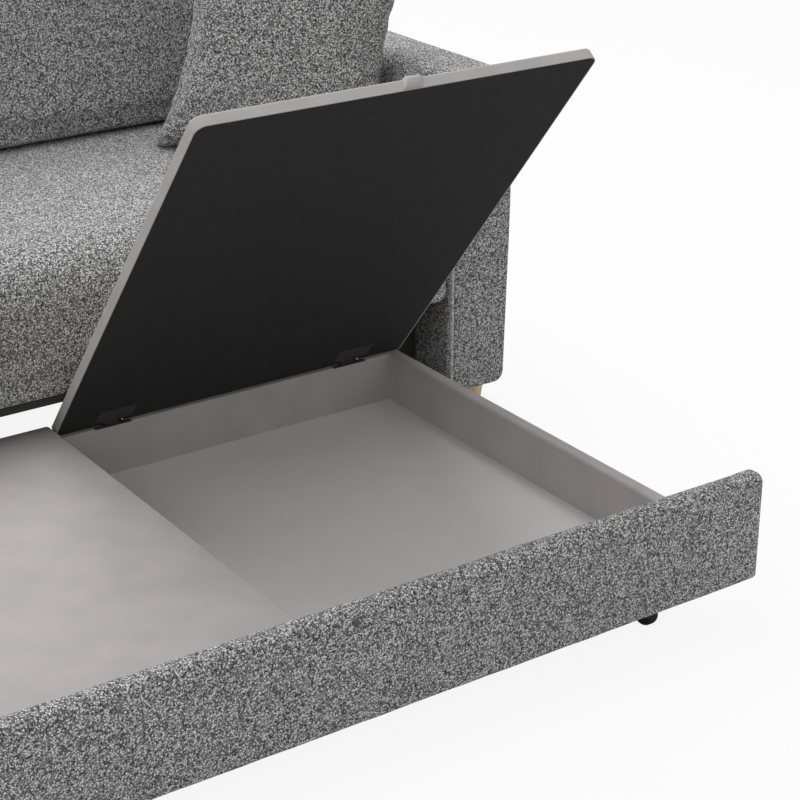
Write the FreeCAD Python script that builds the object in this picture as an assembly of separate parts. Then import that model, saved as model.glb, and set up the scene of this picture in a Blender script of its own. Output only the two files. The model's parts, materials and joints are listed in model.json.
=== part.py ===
import FreeCAD, Part
import math
import os

V = FreeCAD.Vector

# Storage sofa bed: a loveseat with a pull-out storage box on castors, shown pulled out,
# with its right lid held open. Millimetres. X right, Y back, Z up.
# The origin is on the floor, midway along the whole length and depth.

# Pull-out front panel
panel_length = 1460.0
panel_height = 170.0
panel_thickness = 37.0
panel_round_top = 15.0
panel_round_low = 8.0
panel_round_end = 11.0
panel_board_thickness = 18.0
panel_back_padding = 5.0
panel_edge_padding = 12.0
floor_clearance = 46.0

# Storage box behind the panel
box_side_inset = 66.0
box_rear_from_front = 852.0
wall_thickness = 20.0
side_wall_thickness = 24.0
rear_wall_thickness = 12.0
wall_round = 5.0
floor_panel_thickness = 11.0
divider_offset = 2.0

# Lids over the box
lid_recess = 53.0
lid_thickness = 19.0
lid_rest_gap = 0.3
lid_split_gap = 5.0
lid_front_gap = 10.5
lid_side_overhang = 1.5
lid_rear_overhang = 3.0
lid_cover_thickness = 1.5
lid_lining_thickness = 1.0
lid_corner = 17.0
lid_rear_corner = 6.0
lid_edge_round = 4.0
lid_open_angle = 50.8
tab_width = 31.0
tab_right_of_middle = 8.2
tab_reach = 2.5
tab_rise = 5.0
tab_lap = 16.0
tab_skew = 9.0

# Lid hinges
pivot_from_box_rear = 2.0
pivot_below_lid_top = 8.0
pin_radius = 2.0
pin_clearance = 0.05
barrel_radius = 4.0
ear_width = 24.0
eye_width = 7.0
eye_gap = 0.4
hinge_plate_width = 66.0
hinge_plate_thickness = 2.0
hinge_lip_gap = 0.4
hinge_from_outer_edge = 105.5
hinge_from_inner_edge = 104.0
leaf_depth = 34.0
leaf_root_depth = 4.0
notch_clearance = 1.0
swing_clearance = 0.5

# Castors
castor_from_end = 171.5
castor_from_front = 53.0
wheel_radius = 19.0
wheel_width = 24.0
wheel_round = 9.0
axle_radius = 3.0
axle_clearance = 0.05
castor_cheek = 2.0
castor_side_gap = 1.0
castor_plate_thickness = 2.0
castor_plate_width = 40.0
castor_plate_depth = 46.0
castor_screw_length = 9.0
castor_screw_spread = 12.0

# Sofa body
box_left_under_seat = 32.0
sofa_depth = 890.0
arm_gap = 23.0
arm_width = 129.0
arm_bulge = 8.0
arm_widest_height = 392.0
arm_top = 624.0
arm_hang = 4.0
arm_round_outer = 30.0
arm_round_low = 20.0
arm_round_inner = 14.0
arm_round_front = 6.0
arm_padding = 14.0
carcass_board = 15.0

# Seat
stow_gap = 2.0
base_board_thickness = 12.0
base_board_setback = 3.6
seat_top = 462.0
seat_crown = 6.0
seat_overhang = 14.0
seat_round_front = 85.0
seat_round_low = 8.0
seat_round_end = 30.0
seat_side_gap = 1.0
seat_rail_height = 60.0
seat_rail_thickness = 25.0
seat_front_padding = 26.0
seat_side_padding = 12.0
strap_width = 60.0
strap_thickness = 2.0
strap_count = 9

# Back
back_lean = 10.0
back_frame_top = 720.0
back_depth_at_seat = 174.0
back_round = 26.0
back_padding = 16.0
back_side_gap = 0.5
skirt_thickness = 18.0

# Runner rails beside the stowed box
runner_width = 58.0
runner_setback = 100.0
runner_lift = 20.0

# Legs
leg_radius_top = 20.0
leg_radius_low = 14.0
leg_from_front = 34.0
leg_from_inner = 81.0
leg_plate_size = 46.0
leg_plate_thickness = 2.0

# Fasteners
screw_radius = 2.0
screw_head_radius = 4.0
screw_head_height = 2.0
panel_screw_inset = 90.0
panel_screw_grip = 12.0
box_screw_inset = 25.0
box_screw_grip = 24.0
bolt_inset = 60.0
bolt_radius = 4.0
bolt_head_radius = 8.0
bolt_head_height = 5.0

# Loose cushions
soft_gap = 0.4
back_cushion_height = 400.0
back_cushion_thickness = 195.0
back_cushion_corner = 34.0
back_cushion_draw = 7.0
pillow_size = 398.0
pillow_thickness = 126.0
pillow_corner = 16.0
pillow_draw = 22.0
pillow_slump = 10.0
pillow_lean = 8.0
pillow_yaw = -41.4
pillow_from_arm = 344.0
pillow_behind_arm_front = 419.0

# Places worked out from the sizes above
pulled_out = box_rear_from_front - box_left_under_seat
total_depth = pulled_out + sofa_depth
panel_y = -total_depth / 2
panel_back_y = panel_y + panel_thickness
panel_top = floor_clearance + panel_height
half_panel = panel_length / 2
half_box = half_panel - box_side_inset
box_rear_y = panel_y + box_rear_from_front
box_low = floor_clearance
floor_top = box_low + floor_panel_thickness
lid_top = panel_top - lid_recess
lid_low = lid_top - lid_thickness
wall_top = lid_low - lid_rest_gap
lid_front_y = panel_back_y + lid_front_gap
lid_rear_y = box_rear_y + lid_rear_overhang
pivot_y = box_rear_y - pivot_from_box_rear
pivot_z = lid_top - pivot_below_lid_top
rear_corner_reach = math.hypot(lid_rear_y - pivot_y, pivot_z - lid_low)
rear_wall_top = pivot_z - rear_corner_reach - swing_clearance

arm_y = panel_y + pulled_out
rear_y = arm_y + sofa_depth
arm_inner_x = half_panel + arm_gap
arm_outer_x = arm_inner_x + arm_width
arm_low = floor_clearance - arm_hang
base_low = panel_top + stow_gap
base_top = base_low + base_board_thickness
seat_y = arm_y - seat_overhang
half_seat = arm_inner_x - seat_side_gap
lean_slope = math.tan(math.radians(back_lean))
back_face_y_at_seat = rear_y - back_depth_at_seat
skirt_y = rear_y - skirt_thickness
runner_y = arm_y + runner_setback


def box(x0, x1, y0, y1, z0, z1):
    """A block between two corners."""
    return Part.makeBox(x1 - x0, y1 - y0, z1 - z0, V(x0, y0, z0))


def rod(radius, start, axis, length):
    """A round bar from a start point along an axis."""
    return Part.makeCylinder(radius, length, V(*start), V(*axis))


def mirrored(shape):
    """The same shape on the other side of the middle."""
    return shape.mirror(V(0, 0, 0), V(1, 0, 0))


def polygon_prism(points, x0, x1):
    """A side outline in Y and Z, carried along X."""
    corners = [V(x0, y, z) for y, z in points]
    face = Part.Face(Part.makePolygon(corners + corners[:1]))
    return face.extrude(V(x1 - x0, 0, 0))


def edges_where(shape, test):
    """The edges whose two ends both pass a test."""
    return [e for e in shape.Edges if all(test(v.Point) for v in e.Vertexes)]


def near(a, b):
    """Whether two lengths are the same."""
    return abs(a - b) < 0.001


def save(name, *solids):
    """Write one named sub-part, as one or more separate solids."""
    shape = solids[0] if len(solids) == 1 else Part.makeCompound(list(solids))
    shape.exportStep("parts/" + name + ".step")


def back_face_y(z):
    """Where the leaning front face of the back is at a height."""
    return back_face_y_at_seat + (z - seat_top) * lean_slope


def turned_about_pivot(shape, angle):
    """A lid piece turned up about its hinge pins."""
    turned = shape.copy()
    turned.rotate(V(0, pivot_y, pivot_z), V(1, 0, 0), -angle)
    return turned


# Soft forms

def cushion_outline(half_width, half_height, corner, draw_in, y, slump=0.0):
    """A closed outline with four drawn-in sides and four round corners, at one depth."""
    bend = corner * (1 - math.sqrt(0.5))

    def point(x, z):
        return V(x + slump * (z + half_height), y, z)

    w = half_width
    h = half_height
    c = corner
    d = draw_in
    stops = [
        (point(w, c - h), point(w - d, 0), point(w, h - c)),
        (point(w, h - c), point(w - bend, h - bend), point(w - c, h)),
        (point(w - c, h), point(0, h - d), point(c - w, h)),
        (point(c - w, h), point(bend - w, h - bend), point(-w, h - c)),
        (point(-w, h - c), point(d - w, 0), point(-w, c - h)),
        (point(-w, c - h), point(bend - w, bend - h), point(c - w, -h)),
        (point(c - w, -h), point(0, -h + d / 4), point(w - c, -h)),
        (point(w - c, -h), point(w - bend, bend - h), point(w, c - h)),
    ]
    return Part.Wire([Part.Arc(*stop).toShape() for stop in stops])


def crowned_half(width, height, thickness, corner, draw_in, profile, side, slump):
    """One half of a cushion: outlines that shrink from its middle to its face."""
    wires = []
    for depth, inset in profile:
        half_width = width / 2 - inset
        half_height = height / 2 - inset
        bend = min(corner + inset / 3, 0.7 * min(half_width, half_height))
        draw = max(draw_in - inset / 4, 1.0)
        y = side * depth * thickness / 2
        wires.append(cushion_outline(half_width, half_height, bend, draw, y, slump))
    return Part.makeLoft(wires, True, False, False, 3)


def crowned_form(width, height, thickness, corner, draw_in, profile, slump=0.0):
    """A crowned cushion, the same in front and behind."""
    halves = [crowned_half(width, height, thickness, corner, draw_in, profile, side, slump)
              for side in (-1, 1)]
    return halves[0].fuse(halves[1])


def leaned(form, lean, yaw):
    """A cushion leaned back, then turned about the upright through its middle."""
    form.rotate(V(0, 0, 0), V(1, 0, 0), -lean)
    form.rotate(V(0, 0, 0), V(0, 0, 1), yaw)
    return form


def slanted(form, slope):
    """A cushion pressed to a slant: each level moves back, and its underside stays level."""
    matrix = FreeCAD.Matrix()
    matrix.A23 = slope
    return form.transformGeometry(matrix)


def moved_against(form, support, direction, clearance=soft_gap):
    """A soft form moved along a direction until it lies a clearance from its support."""
    gap = form.distToShape(support)[0] - clearance
    form.translate(V(*direction) * gap)
    return form


# Front panel of the pull-out

def panel_outer():
    block = box(-half_panel, half_panel, panel_y, panel_back_y, floor_clearance, panel_top)
    ends = edges_where(block, lambda p: near(abs(p.x), half_panel))
    uprights = [e for e in ends if near(e.Length, panel_height)]
    block = block.makeFillet(panel_round_end, uprights)
    top = edges_where(block, lambda p: near(p.z, panel_top))
    block = block.makeFillet(panel_round_top, top)
    low = edges_where(block, lambda p: near(p.z, floor_clearance))
    return block.makeFillet(panel_round_low, low)


def panel_board():
    back = panel_back_y - panel_back_padding
    side = half_panel - panel_edge_padding
    low = floor_clearance + panel_edge_padding
    high = panel_top - panel_edge_padding
    return box(-side, side, back - panel_board_thickness, back, low, high)


# Storage box

panel_screw_reach = half_box - panel_screw_inset
panel_screw_x = [panel_screw_reach * share for share in (-1, -0.4, 0.4, 1)]
panel_screw_z = (floor_top + wall_top) / 2
box_screw_z = [box_low + box_screw_inset, wall_top - box_screw_inset]
hinge_x = [half_box - hinge_from_outer_edge, hinge_from_inner_edge]
half_notch = ear_width / 2 + eye_gap + eye_width + notch_clearance


def panel_screws():
    """Screws that hold the box's front wall to the panel's board."""
    length = wall_thickness + panel_back_padding + panel_screw_grip - screw_head_height
    start = panel_back_y + wall_thickness
    return [countersunk((x, start, panel_screw_z), (0, -1, 0), length) for x in panel_screw_x]


def countersunk(seat, axis, length):
    """One screw: a flat head let in flush at its seat, and a shank along the axis."""
    step = [s + a * screw_head_height for s, a in zip(seat, axis)]
    head = rod(screw_head_radius, seat, axis, screw_head_height)
    return head.fuse(rod(screw_radius, step, axis, length))


def box_screws():
    """Screws through the rear wall into the ends of the side walls."""
    found = []
    for side in (-1, 1):
        for z in box_screw_z:
            x = side * (half_box - side_wall_thickness / 2)
            found.append(countersunk((x, box_rear_y, z), (0, -1, 0), rear_wall_thickness + box_screw_grip))
    return found


def less(shape, cutters):
    """A shape with its screws, bolts or fittings cut out."""
    for cutter in cutters:
        shape = shape.cut(cutter)
    return shape


def front_wall():
    y0 = panel_back_y
    return box(-half_box, half_box, y0, y0 + wall_thickness, box_low, wall_top)


def side_wall():
    """The right side wall, with its wrapped top rounded."""
    y0 = panel_back_y + wall_thickness
    y1 = box_rear_y - rear_wall_thickness
    wall = box(half_box - side_wall_thickness, half_box, y0, y1, box_low, wall_top)
    tops = edges_where(wall, lambda p: near(p.z, wall_top))
    return wall.makeFillet(wall_round, [e for e in tops if near(e.Length, y1 - y0)])


def rear_wall():
    y0 = box_rear_y - rear_wall_thickness
    wall = box(-half_box, half_box, y0, box_rear_y, box_low, rear_wall_top)
    for side in (-1, 1):
        for x in hinge_x:
            wall = wall.cut(hinge_seat(side * x))
    return wall


def divider():
    y0 = panel_back_y + wall_thickness
    y1 = box_rear_y - rear_wall_thickness
    x1 = -divider_offset
    return box(x1 - wall_thickness, x1, y0, y1, box_low, wall_top)


def floor_panel(x0, x1):
    y0 = panel_back_y + wall_thickness
    return box(x0, x1, y0, box_rear_y - rear_wall_thickness, box_low, floor_top)


# Hinges: a plate let into the rear wall's top with one ear, and a leaf in the lid with two eyes

def hinge_seat(x):
    """The shallow recess in the wall's top that a hinge plate lies in."""
    half = hinge_plate_width / 2
    low = rear_wall_top - hinge_plate_thickness
    return box(x - half, x + half, box_rear_y - rear_wall_thickness, box_rear_y, low, rear_wall_top)


def hinge_bracket(x):
    """Plate, ear with the pin's hole, and a low lip that closes the notch behind the eyes."""
    ear = ear_width / 2
    upright = box(x - ear, x + ear, pivot_y - barrel_radius, pivot_y, rear_wall_top, pivot_z)
    barrel = rod(barrel_radius, (x - ear, pivot_y, pivot_z), (1, 0, 0), ear_width)
    reach = half_notch - notch_clearance / 2
    lip_top = pivot_z - barrel_radius - hinge_lip_gap
    lip = box(x - reach, x + reach, pivot_y + hinge_lip_gap, box_rear_y, rear_wall_top, lip_top)
    body = hinge_seat(x).fuse([upright, barrel, lip]).removeSplitter()
    return body.cut(rod(pin_radius, (x - ear, pivot_y, pivot_z), (1, 0, 0), ear_width))


def hinge_pin(x):
    reach = ear_width / 2 + eye_gap + eye_width
    return rod(pin_radius, (x - reach, pivot_y, pivot_z), (1, 0, 0), 2 * reach)


def leaf_plate(x):
    """The leaf's plate, let into the lid's underside."""
    half = hinge_plate_width / 2
    y1 = notch_y
    return box(x - half, x + half, y1 - leaf_depth, y1, lid_low, lid_low + hinge_plate_thickness)


notch_y = pivot_y - barrel_radius - 4 * notch_clearance
notch_top = pivot_z + barrel_radius + notch_clearance


def lid_notch(x):
    """The pocket in the lid's rear edge that clears the hinge, closed above by the cover."""
    return box(x - half_notch, x + half_notch, notch_y, lid_rear_y + 1, lid_low - 1, notch_top)


def hinge_leaf(x):
    """Plate with two eyes that turn on the pin."""
    leaf = leaf_plate(x)
    for side in (-1, 1):
        a = x + side * (ear_width / 2 + eye_gap)
        b = a + side * eye_width
        x0 = min(a, b)
        x1 = max(a, b)
        arm = box(x0, x1, notch_y, pivot_y, lid_low, pivot_z)
        root = box(x0, x1, notch_y - leaf_root_depth, notch_y, lid_low, lid_low + hinge_plate_thickness)
        eye = rod(barrel_radius, (x0, pivot_y, pivot_z), (1, 0, 0), eye_width)
        leaf = leaf.fuse([arm, root, eye])
    leaf = leaf.removeSplitter()
    hole = ear_width / 2 + eye_gap + eye_width
    bore = rod(pin_radius + pin_clearance, (x - hole, pivot_y, pivot_z), (1, 0, 0), 2 * hole)
    return leaf.cut(bore)


# One lid, modelled closed on the right, then mirrored or turned up

def rounded_plate(x0, x1, y0, y1, z0, z1, inset):
    """A plate with its upright corners rounded, less at the hinges, and its top edge eased."""
    plate = box(x0, x1, y0, y1, z0, z1)
    uprights = edges_where(plate, lambda p: near(p.y, y0))
    plate = plate.makeFillet(lid_corner - inset, [e for e in uprights if near(e.Length, z1 - z0)])
    uprights = edges_where(plate, lambda p: near(p.y, y1))
    uprights = [e for e in uprights if near(e.Length, z1 - z0)]
    plate = plate.makeFillet(lid_rear_corner - inset, uprights)
    return plate.makeFillet(lid_edge_round - inset, edges_where(plate, lambda p: near(p.z, z1)))


def lid_pieces():
    """Board, cover, lining, pull tab and two hinge leaves of the right lid, closed."""
    x0 = lid_split_gap / 2
    x1 = half_box + lid_side_overhang
    skin = lid_cover_thickness
    outer = rounded_plate(x0, x1, lid_front_y, lid_rear_y, lid_low, lid_top, 0.0)
    core = rounded_plate(x0 + skin, x1 - skin, lid_front_y + skin, lid_rear_y - skin,
                         lid_low, lid_top - skin, skin)
    board_low = lid_low + lid_lining_thickness
    slab = box(x0, x1, lid_front_y, lid_rear_y, board_low, lid_top)
    fittings = []
    for x in hinge_x:
        fittings.append(lid_notch(x))
        fittings.append(leaf_plate(x))
    board = less(core.common(slab), fittings)
    cover = less(outer.cut(core), fittings)
    lining = less(core.cut(slab), fittings)
    leaves = [hinge_leaf(x) for x in hinge_x]
    tab = pull_tab((x0 + x1) / 2 + tab_right_of_middle)
    return {"board": board, "cover": cover, "lining": lining, "tab": tab, "leaves": leaves}


def pull_tab(middle):
    """A cloth tab folded askew over the lid's front edge, swelling above its top."""
    f = lid_front_y
    ends = []
    for side in (-1, 1):
        def point(y, z):
            shift = tab_skew * ((z - lid_low) / lid_thickness - 0.5)
            return V(middle + side * tab_width / 2 + shift, y, z)

        low = point(f, lid_low + 1)
        front_low = point(f - tab_reach, lid_low + 3)
        front_top = point(f - tab_reach, lid_top)
        crest = point(f + tab_lap / 4, lid_top + tab_rise)
        rear = point(f + tab_lap, lid_top)
        corner = point(f, lid_top)
        edges = [
            Part.LineSegment(low, front_low),
            Part.LineSegment(front_low, front_top),
            Part.Arc(front_top, crest, rear),
            Part.LineSegment(rear, corner),
            Part.LineSegment(corner, low),
        ]
        ends.append(Part.Wire([e.toShape() for e in edges]))
    return Part.makeLoft(ends, True, True)


# Castors

castor_places = {
    "front_left": (-(half_panel - castor_from_end), panel_y + castor_from_front),
    "front_right": (half_panel - castor_from_end, panel_y + castor_from_front),
    "rear_left": (-(half_panel - castor_from_end), box_rear_y - castor_from_front),
    "rear_right": (half_panel - castor_from_end, box_rear_y - castor_from_front),
}
cheek_inner = wheel_width / 2 + castor_side_gap
cheek_outer = cheek_inner + castor_cheek


def castor_wheel(x, y):
    half = wheel_width / 2
    wheel = rod(wheel_radius, (x - half, y, wheel_radius), (1, 0, 0), wheel_width)
    wheel = wheel.makeFillet(wheel_round, [e for e in wheel.Edges if e.Closed])
    bore = axle_radius + axle_clearance
    return wheel.cut(rod(bore, (x - half, y, wheel_radius), (1, 0, 0), wheel_width))


def castor_bracket(x, y):
    """A plate under the box with two cheeks that carry the axle."""
    top = floor_clearance
    low = top - castor_plate_thickness
    half = castor_plate_depth / 2
    across = castor_plate_width / 2
    body = box(x - across, x + across, y - half, y + half, low, top)
    for side in (-1, 1):
        a = x + side * cheek_inner
        b = x + side * cheek_outer
        points = [
            (y - half * 0.6, low),
            (y + half * 0.6, low),
            (y + axle_radius * 2, wheel_radius - axle_radius * 2),
            (y - axle_radius * 2, wheel_radius - axle_radius * 2),
        ]
        body = body.fuse(polygon_prism(points, min(a, b), max(a, b)))
    body = body.removeSplitter()
    bore = rod(axle_radius, (x - cheek_outer, y, wheel_radius), (1, 0, 0), 2 * cheek_outer)
    return less(body, [bore] + castor_screws(x, y))


def castor_axle(x, y):
    return rod(axle_radius, (x - cheek_outer, y, wheel_radius), (1, 0, 0), 2 * cheek_outer)


def castor_screws(x, y):
    """Two screws up through each castor plate, on its side towards the box's middle."""
    reach = castor_plate_depth / 2 - screw_head_radius - 1
    inward = 1 if y < (panel_y + box_rear_y) / 2 else -1
    low = floor_clearance - castor_plate_thickness
    return [countersunk((x + dx, y + inward * reach, low), (0, 0, 1), castor_screw_length)
            for dx in (-castor_screw_spread, castor_screw_spread)]


# Arms, back and seat

def arm_outer():
    """The right arm: a slab with a bowed outer side and rounded corners, seen from the front."""
    a = arm_inner_x
    b = arm_outer_x
    y = arm_y
    low = arm_low
    top = arm_top
    edges = [
        Part.LineSegment(V(a, y, low), V(b, y, low)),
        Part.Arc(V(b, y, low), V(b + arm_bulge, y, arm_widest_height), V(b, y, top)),
        Part.LineSegment(V(b, y, top), V(a, y, top)),
        Part.LineSegment(V(a, y, top), V(a, y, low)),
    ]
    face = Part.Face(Part.Wire([e.toShape() for e in edges]))
    slab = face.extrude(V(0, sofa_depth, 0))
    lengthwise = [e for e in slab.Edges if near(e.Length, sofa_depth)]
    outer = [e for e in lengthwise if e.CenterOfMass.x > (a + b) / 2]
    slab = slab.makeFillet(arm_round_outer, [e for e in outer if near(e.CenterOfMass.z, top)])
    outer = [e for e in slab.Edges if near(e.Length, sofa_depth) and near(e.CenterOfMass.z, low)]
    slab = slab.makeFillet(arm_round_low, [e for e in outer if near(e.CenterOfMass.x, b)])
    inner = [e for e in slab.Edges if near(e.Length, sofa_depth) and near(e.CenterOfMass.x, a)]
    slab = slab.makeFillet(arm_round_inner, inner)
    fronts = edges_where(slab, lambda point: near(point.y, arm_y))
    return slab.makeFillet(arm_round_front, fronts)


def carcass(x0, x1, y0, y1, z0, z1):
    """A closed frame of boards."""
    t = carcass_board
    return box(x0, x1, y0, y1, z0, z1).cut(box(x0 + t, x1 - t, y0 + t, y1 - t, z0 + t, z1 - t))


def arm_carcass():
    p = arm_padding
    return carcass(arm_inner_x + p, arm_outer_x - p, arm_y + p, rear_y - p, arm_low + p, arm_top - p)


def back_outline(padding):
    """Side outline of the back, from its leaning front face to the rear."""
    low = base_top + padding
    top = back_frame_top - padding
    shift = padding / math.cos(math.radians(back_lean))
    return [
        (back_face_y(low) + shift, low),
        (rear_y - padding, low),
        (rear_y - padding, top),
        (back_face_y(top) + shift, top),
    ]


def back_outer():
    half = arm_inner_x - back_side_gap
    block = polygon_prism(back_outline(0), -half, half)
    tops = edges_where(block, lambda p: near(p.z, back_frame_top))
    return block.makeFillet(back_round, [e for e in tops if near(e.Length, 2 * half)])


def back_carcass():
    half = arm_inner_x - back_side_gap - back_padding
    t = carcass_board
    outer = polygon_prism(back_outline(back_padding), -half, half)
    return outer.cut(polygon_prism(back_outline(back_padding + t), t - half, half - t))


def seat_outer():
    """The seat: a thick block with a waterfall front and a crowned top, rounded at both ends."""
    f = seat_y
    low = base_top
    r = seat_round_front
    s = seat_round_low
    k = 1 - math.sqrt(0.5)
    edge_top = seat_top - seat_crown
    rear_low = back_face_y(low) - seat_side_gap
    rear_top = back_face_y(edge_top) - seat_side_gap
    middle = (f + r + rear_top) / 2
    x = -half_seat
    edges = [
        Part.Arc(V(x, f + s, low), V(x, f + s * k, low + s * k), V(x, f, low + s)),
        Part.LineSegment(V(x, f, low + s), V(x, f, edge_top - r)),
        Part.Arc(V(x, f, edge_top - r), V(x, f + r * k, edge_top - r * k), V(x, f + r, edge_top)),
        Part.Arc(V(x, f + r, edge_top), V(x, middle, seat_top), V(x, rear_top, edge_top)),
        Part.LineSegment(V(x, rear_top, edge_top), V(x, rear_low, low)),
        Part.LineSegment(V(x, rear_low, low), V(x, f + s, low)),
    ]
    face = Part.Face(Part.Wire([e.toShape() for e in edges]))
    block = face.extrude(V(2 * half_seat, 0, 0))

    return block.makeFillet(seat_round_end, seat_end_edges(block))


def seat_end_edges(block):
    """The end edges of the seat along its front and top."""
    found = []
    for edge in block.Edges:
        ends = [v.Point for v in edge.Vertexes]
        at_end = all(near(abs(p.x), half_seat) for p in ends)
        centre = edge.CenterOfMass
        if at_end and centre.z > base_top + 1 and centre.y < back_face_y(base_top) - 2:
            found.append(edge)
    return found


rail_y = seat_y + seat_front_padding
rail_rear_y = back_face_y(base_top) - seat_side_gap - seat_side_padding
rail_x = half_seat - seat_side_padding
rail_top = base_top + seat_rail_height
strap_top = rail_top + strap_thickness


def seat_rail(y):
    """A long rail between the two sides."""
    return box(-rail_x, rail_x, y, y + seat_rail_thickness, base_top, rail_top)


def seat_cross_rail(x):
    """A short rail from front to rear, centred on x."""
    half = seat_rail_thickness / 2
    y0 = rail_y + seat_rail_thickness
    y1 = rail_rear_y - seat_rail_thickness
    return box(x - half, x + half, y0, y1, base_top, rail_top)


def seat_straps():
    """Elastic webbing over the rails, front to rear."""
    pitch = 2 * rail_x / strap_count
    half = strap_width / 2
    straps = []
    for i in range(strap_count):
        x = -rail_x + pitch * (i + 0.5)
        straps.append(box(x - half, x + half, rail_y, rail_rear_y, rail_top, strap_top))
    return straps


# Runner rails, skirt, base board

def runner_rail():
    """The right runner rail: it carries the seat's board and guides the stowed box."""
    low = floor_clearance + runner_lift
    return box(arm_inner_x - runner_width, arm_inner_x, runner_y, skirt_y, low, base_low)


def base_board():
    """The board under the seat: its front strip ends short of both arms."""
    y0 = seat_y + base_board_setback
    narrow = arm_inner_x - runner_width
    board = box(-half_seat, half_seat, runner_y, skirt_y, base_low, base_top)
    return board.fuse(box(-narrow, narrow, y0, runner_y, base_low, base_top)).removeSplitter()


def rear_skirt():
    half = arm_inner_x - back_side_gap
    return box(-half, half, skirt_y, rear_y, floor_clearance, base_top)


bolt_y = [runner_y + bolt_inset, (runner_y + skirt_y) / 2, skirt_y - bolt_inset]
bolt_z = (floor_clearance + runner_lift + base_low) / 2


def frame_bolt(side, y):
    """One bolt from the runner rail into the arm's frame."""
    x = side * (arm_inner_x - runner_width)
    reach = runner_width + arm_padding + carcass_board - bolt_head_height
    head = rod(bolt_head_radius, (x, y, bolt_z), (side, 0, 0), bolt_head_height)
    start = (x + side * bolt_head_height, y, bolt_z)
    return head.fuse(rod(bolt_radius, start, (side, 0, 0), reach))


# Legs

leg_x = arm_inner_x + leg_from_inner
leg_places = {
    "front_left": (-leg_x, arm_y + leg_from_front),
    "front_right": (leg_x, arm_y + leg_from_front),
    "rear_left": (-leg_x, rear_y - leg_from_front),
    "rear_right": (leg_x, rear_y - leg_from_front),
}
leg_height = arm_low - leg_plate_thickness


def leg(x, y):
    """A turned, tapered beech leg."""
    return Part.makeCone(leg_radius_low, leg_radius_top, leg_height, V(x, y, 0), V(0, 0, 1))


def leg_plate_blank(x, y):
    half = leg_plate_size / 2
    return box(x - half, x + half, y - half, y + half, leg_height, arm_low)


def leg_screws(x, y):
    """Four screws up through each leg plate into the arm's frame."""
    reach = leg_plate_size / 2 - screw_head_radius - 1
    length = arm_padding + carcass_board - screw_head_height
    found = []
    for dx in (-reach, reach):
        for dy in (-reach, reach):
            found.append(countersunk((x + dx, y + dy, leg_height), (0, 0, 1), length))
    return found


# Loose cushions

# Each pair is a share of the half thickness, and how far the outline has shrunk there.
back_cushion_profile = [(0.0, 0.0), (0.6, 1.0), (0.86, 5.0), (0.95, 14.0), (0.985, 34.0), (1.0, 80.0)]
pillow_profile = [(0.0, 0.0), (0.26, 5.0), (0.5, 20.0), (0.74, 52.0), (0.92, 98.0), (1.0, 150.0)]


def back_cushion():
    """The right back cushion, leaning on the back and standing on the seat."""
    width = half_seat - 2 * soft_gap
    form = crowned_form(width, back_cushion_height, back_cushion_thickness, back_cushion_corner,
                        back_cushion_draw, back_cushion_profile)
    form = slanted(form, lean_slope)
    middle_y = back_face_y(seat_top + back_cushion_height / 2) - back_cushion_thickness / 2
    form.translate(V(half_seat / 2, middle_y, seat_top + back_cushion_height / 2))
    towards_back = (0, 1 / math.cos(math.radians(back_lean)), 0)
    form = moved_against(form, back_outer(), towards_back, 10 * soft_gap)
    form = moved_against(form, seat_outer(), (0, 0, -1))
    return moved_against(form, back_outer(), towards_back)


def throw_pillow():
    """A square pillow standing in the corner of the right arm, slumped to the right."""
    form = crowned_form(pillow_size, pillow_size, pillow_thickness, pillow_corner, pillow_draw,
                        pillow_profile, math.tan(math.radians(pillow_slump)))
    form.translate(V(pillow_size / 2, 0, pillow_size / 2))
    form = leaned(form, pillow_lean, pillow_yaw)
    place = V(arm_inner_x - pillow_from_arm, arm_y + pillow_behind_arm_front, seat_top + pillow_thickness / 8)
    form.translate(place)
    return moved_against(form, seat_outer(), (0, 0, -1))


def build_pull_out():
    """Panel, box, hinge brackets and castors."""
    into_panel = panel_screws()
    into_walls = box_screws()
    save("panel_board", less(panel_board(), into_panel))
    save("panel_upholstery", less(panel_outer().cut(panel_board()), into_panel))
    save("box_front_wall", less(front_wall(), into_panel))
    save("box_rear_wall", less(rear_wall(), into_walls))
    save("box_right_wall", less(side_wall(), into_walls))
    save("box_left_wall", less(mirrored(side_wall()), into_walls))
    save("box_divider", divider())
    under = []
    for place in castor_places.values():
        under.extend(castor_screws(*place))
    inner = half_box - side_wall_thickness
    save("right_floor_panel", less(floor_panel(-divider_offset, inner), under))
    save("left_floor_panel", less(floor_panel(-inner, -divider_offset - wall_thickness), under))
    save("box_screws", *into_walls)
    save("panel_screws", *into_panel)
    save("castor_screws", *under)
    save("castor_axles", *[castor_axle(*place) for place in castor_places.values()])
    for name, place in castor_places.items():
        save("castor_bracket_" + name, castor_bracket(*place))
        save("castor_wheel_" + name, castor_wheel(*place))
    spots = [side * x for side in (-1, 1) for x in hinge_x]
    save("hinge_brackets", *[hinge_bracket(x) for x in spots])
    save("hinge_pins", *[hinge_pin(x) for x in spots])


def build_lids():
    """The right lid held open, and the left lid closed."""
    pieces = lid_pieces()
    for name in ("board", "cover", "lining", "tab"):
        save("right_lid_" + name, turned_about_pivot(pieces[name], lid_open_angle))
        save("left_lid_" + name, mirrored(pieces[name]))
    leaves = pieces["leaves"]
    save("right_hinge_leaves", *[turned_about_pivot(leaf, lid_open_angle) for leaf in leaves])
    save("left_hinge_leaves", *[mirrored(leaf) for leaf in leaves])


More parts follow.
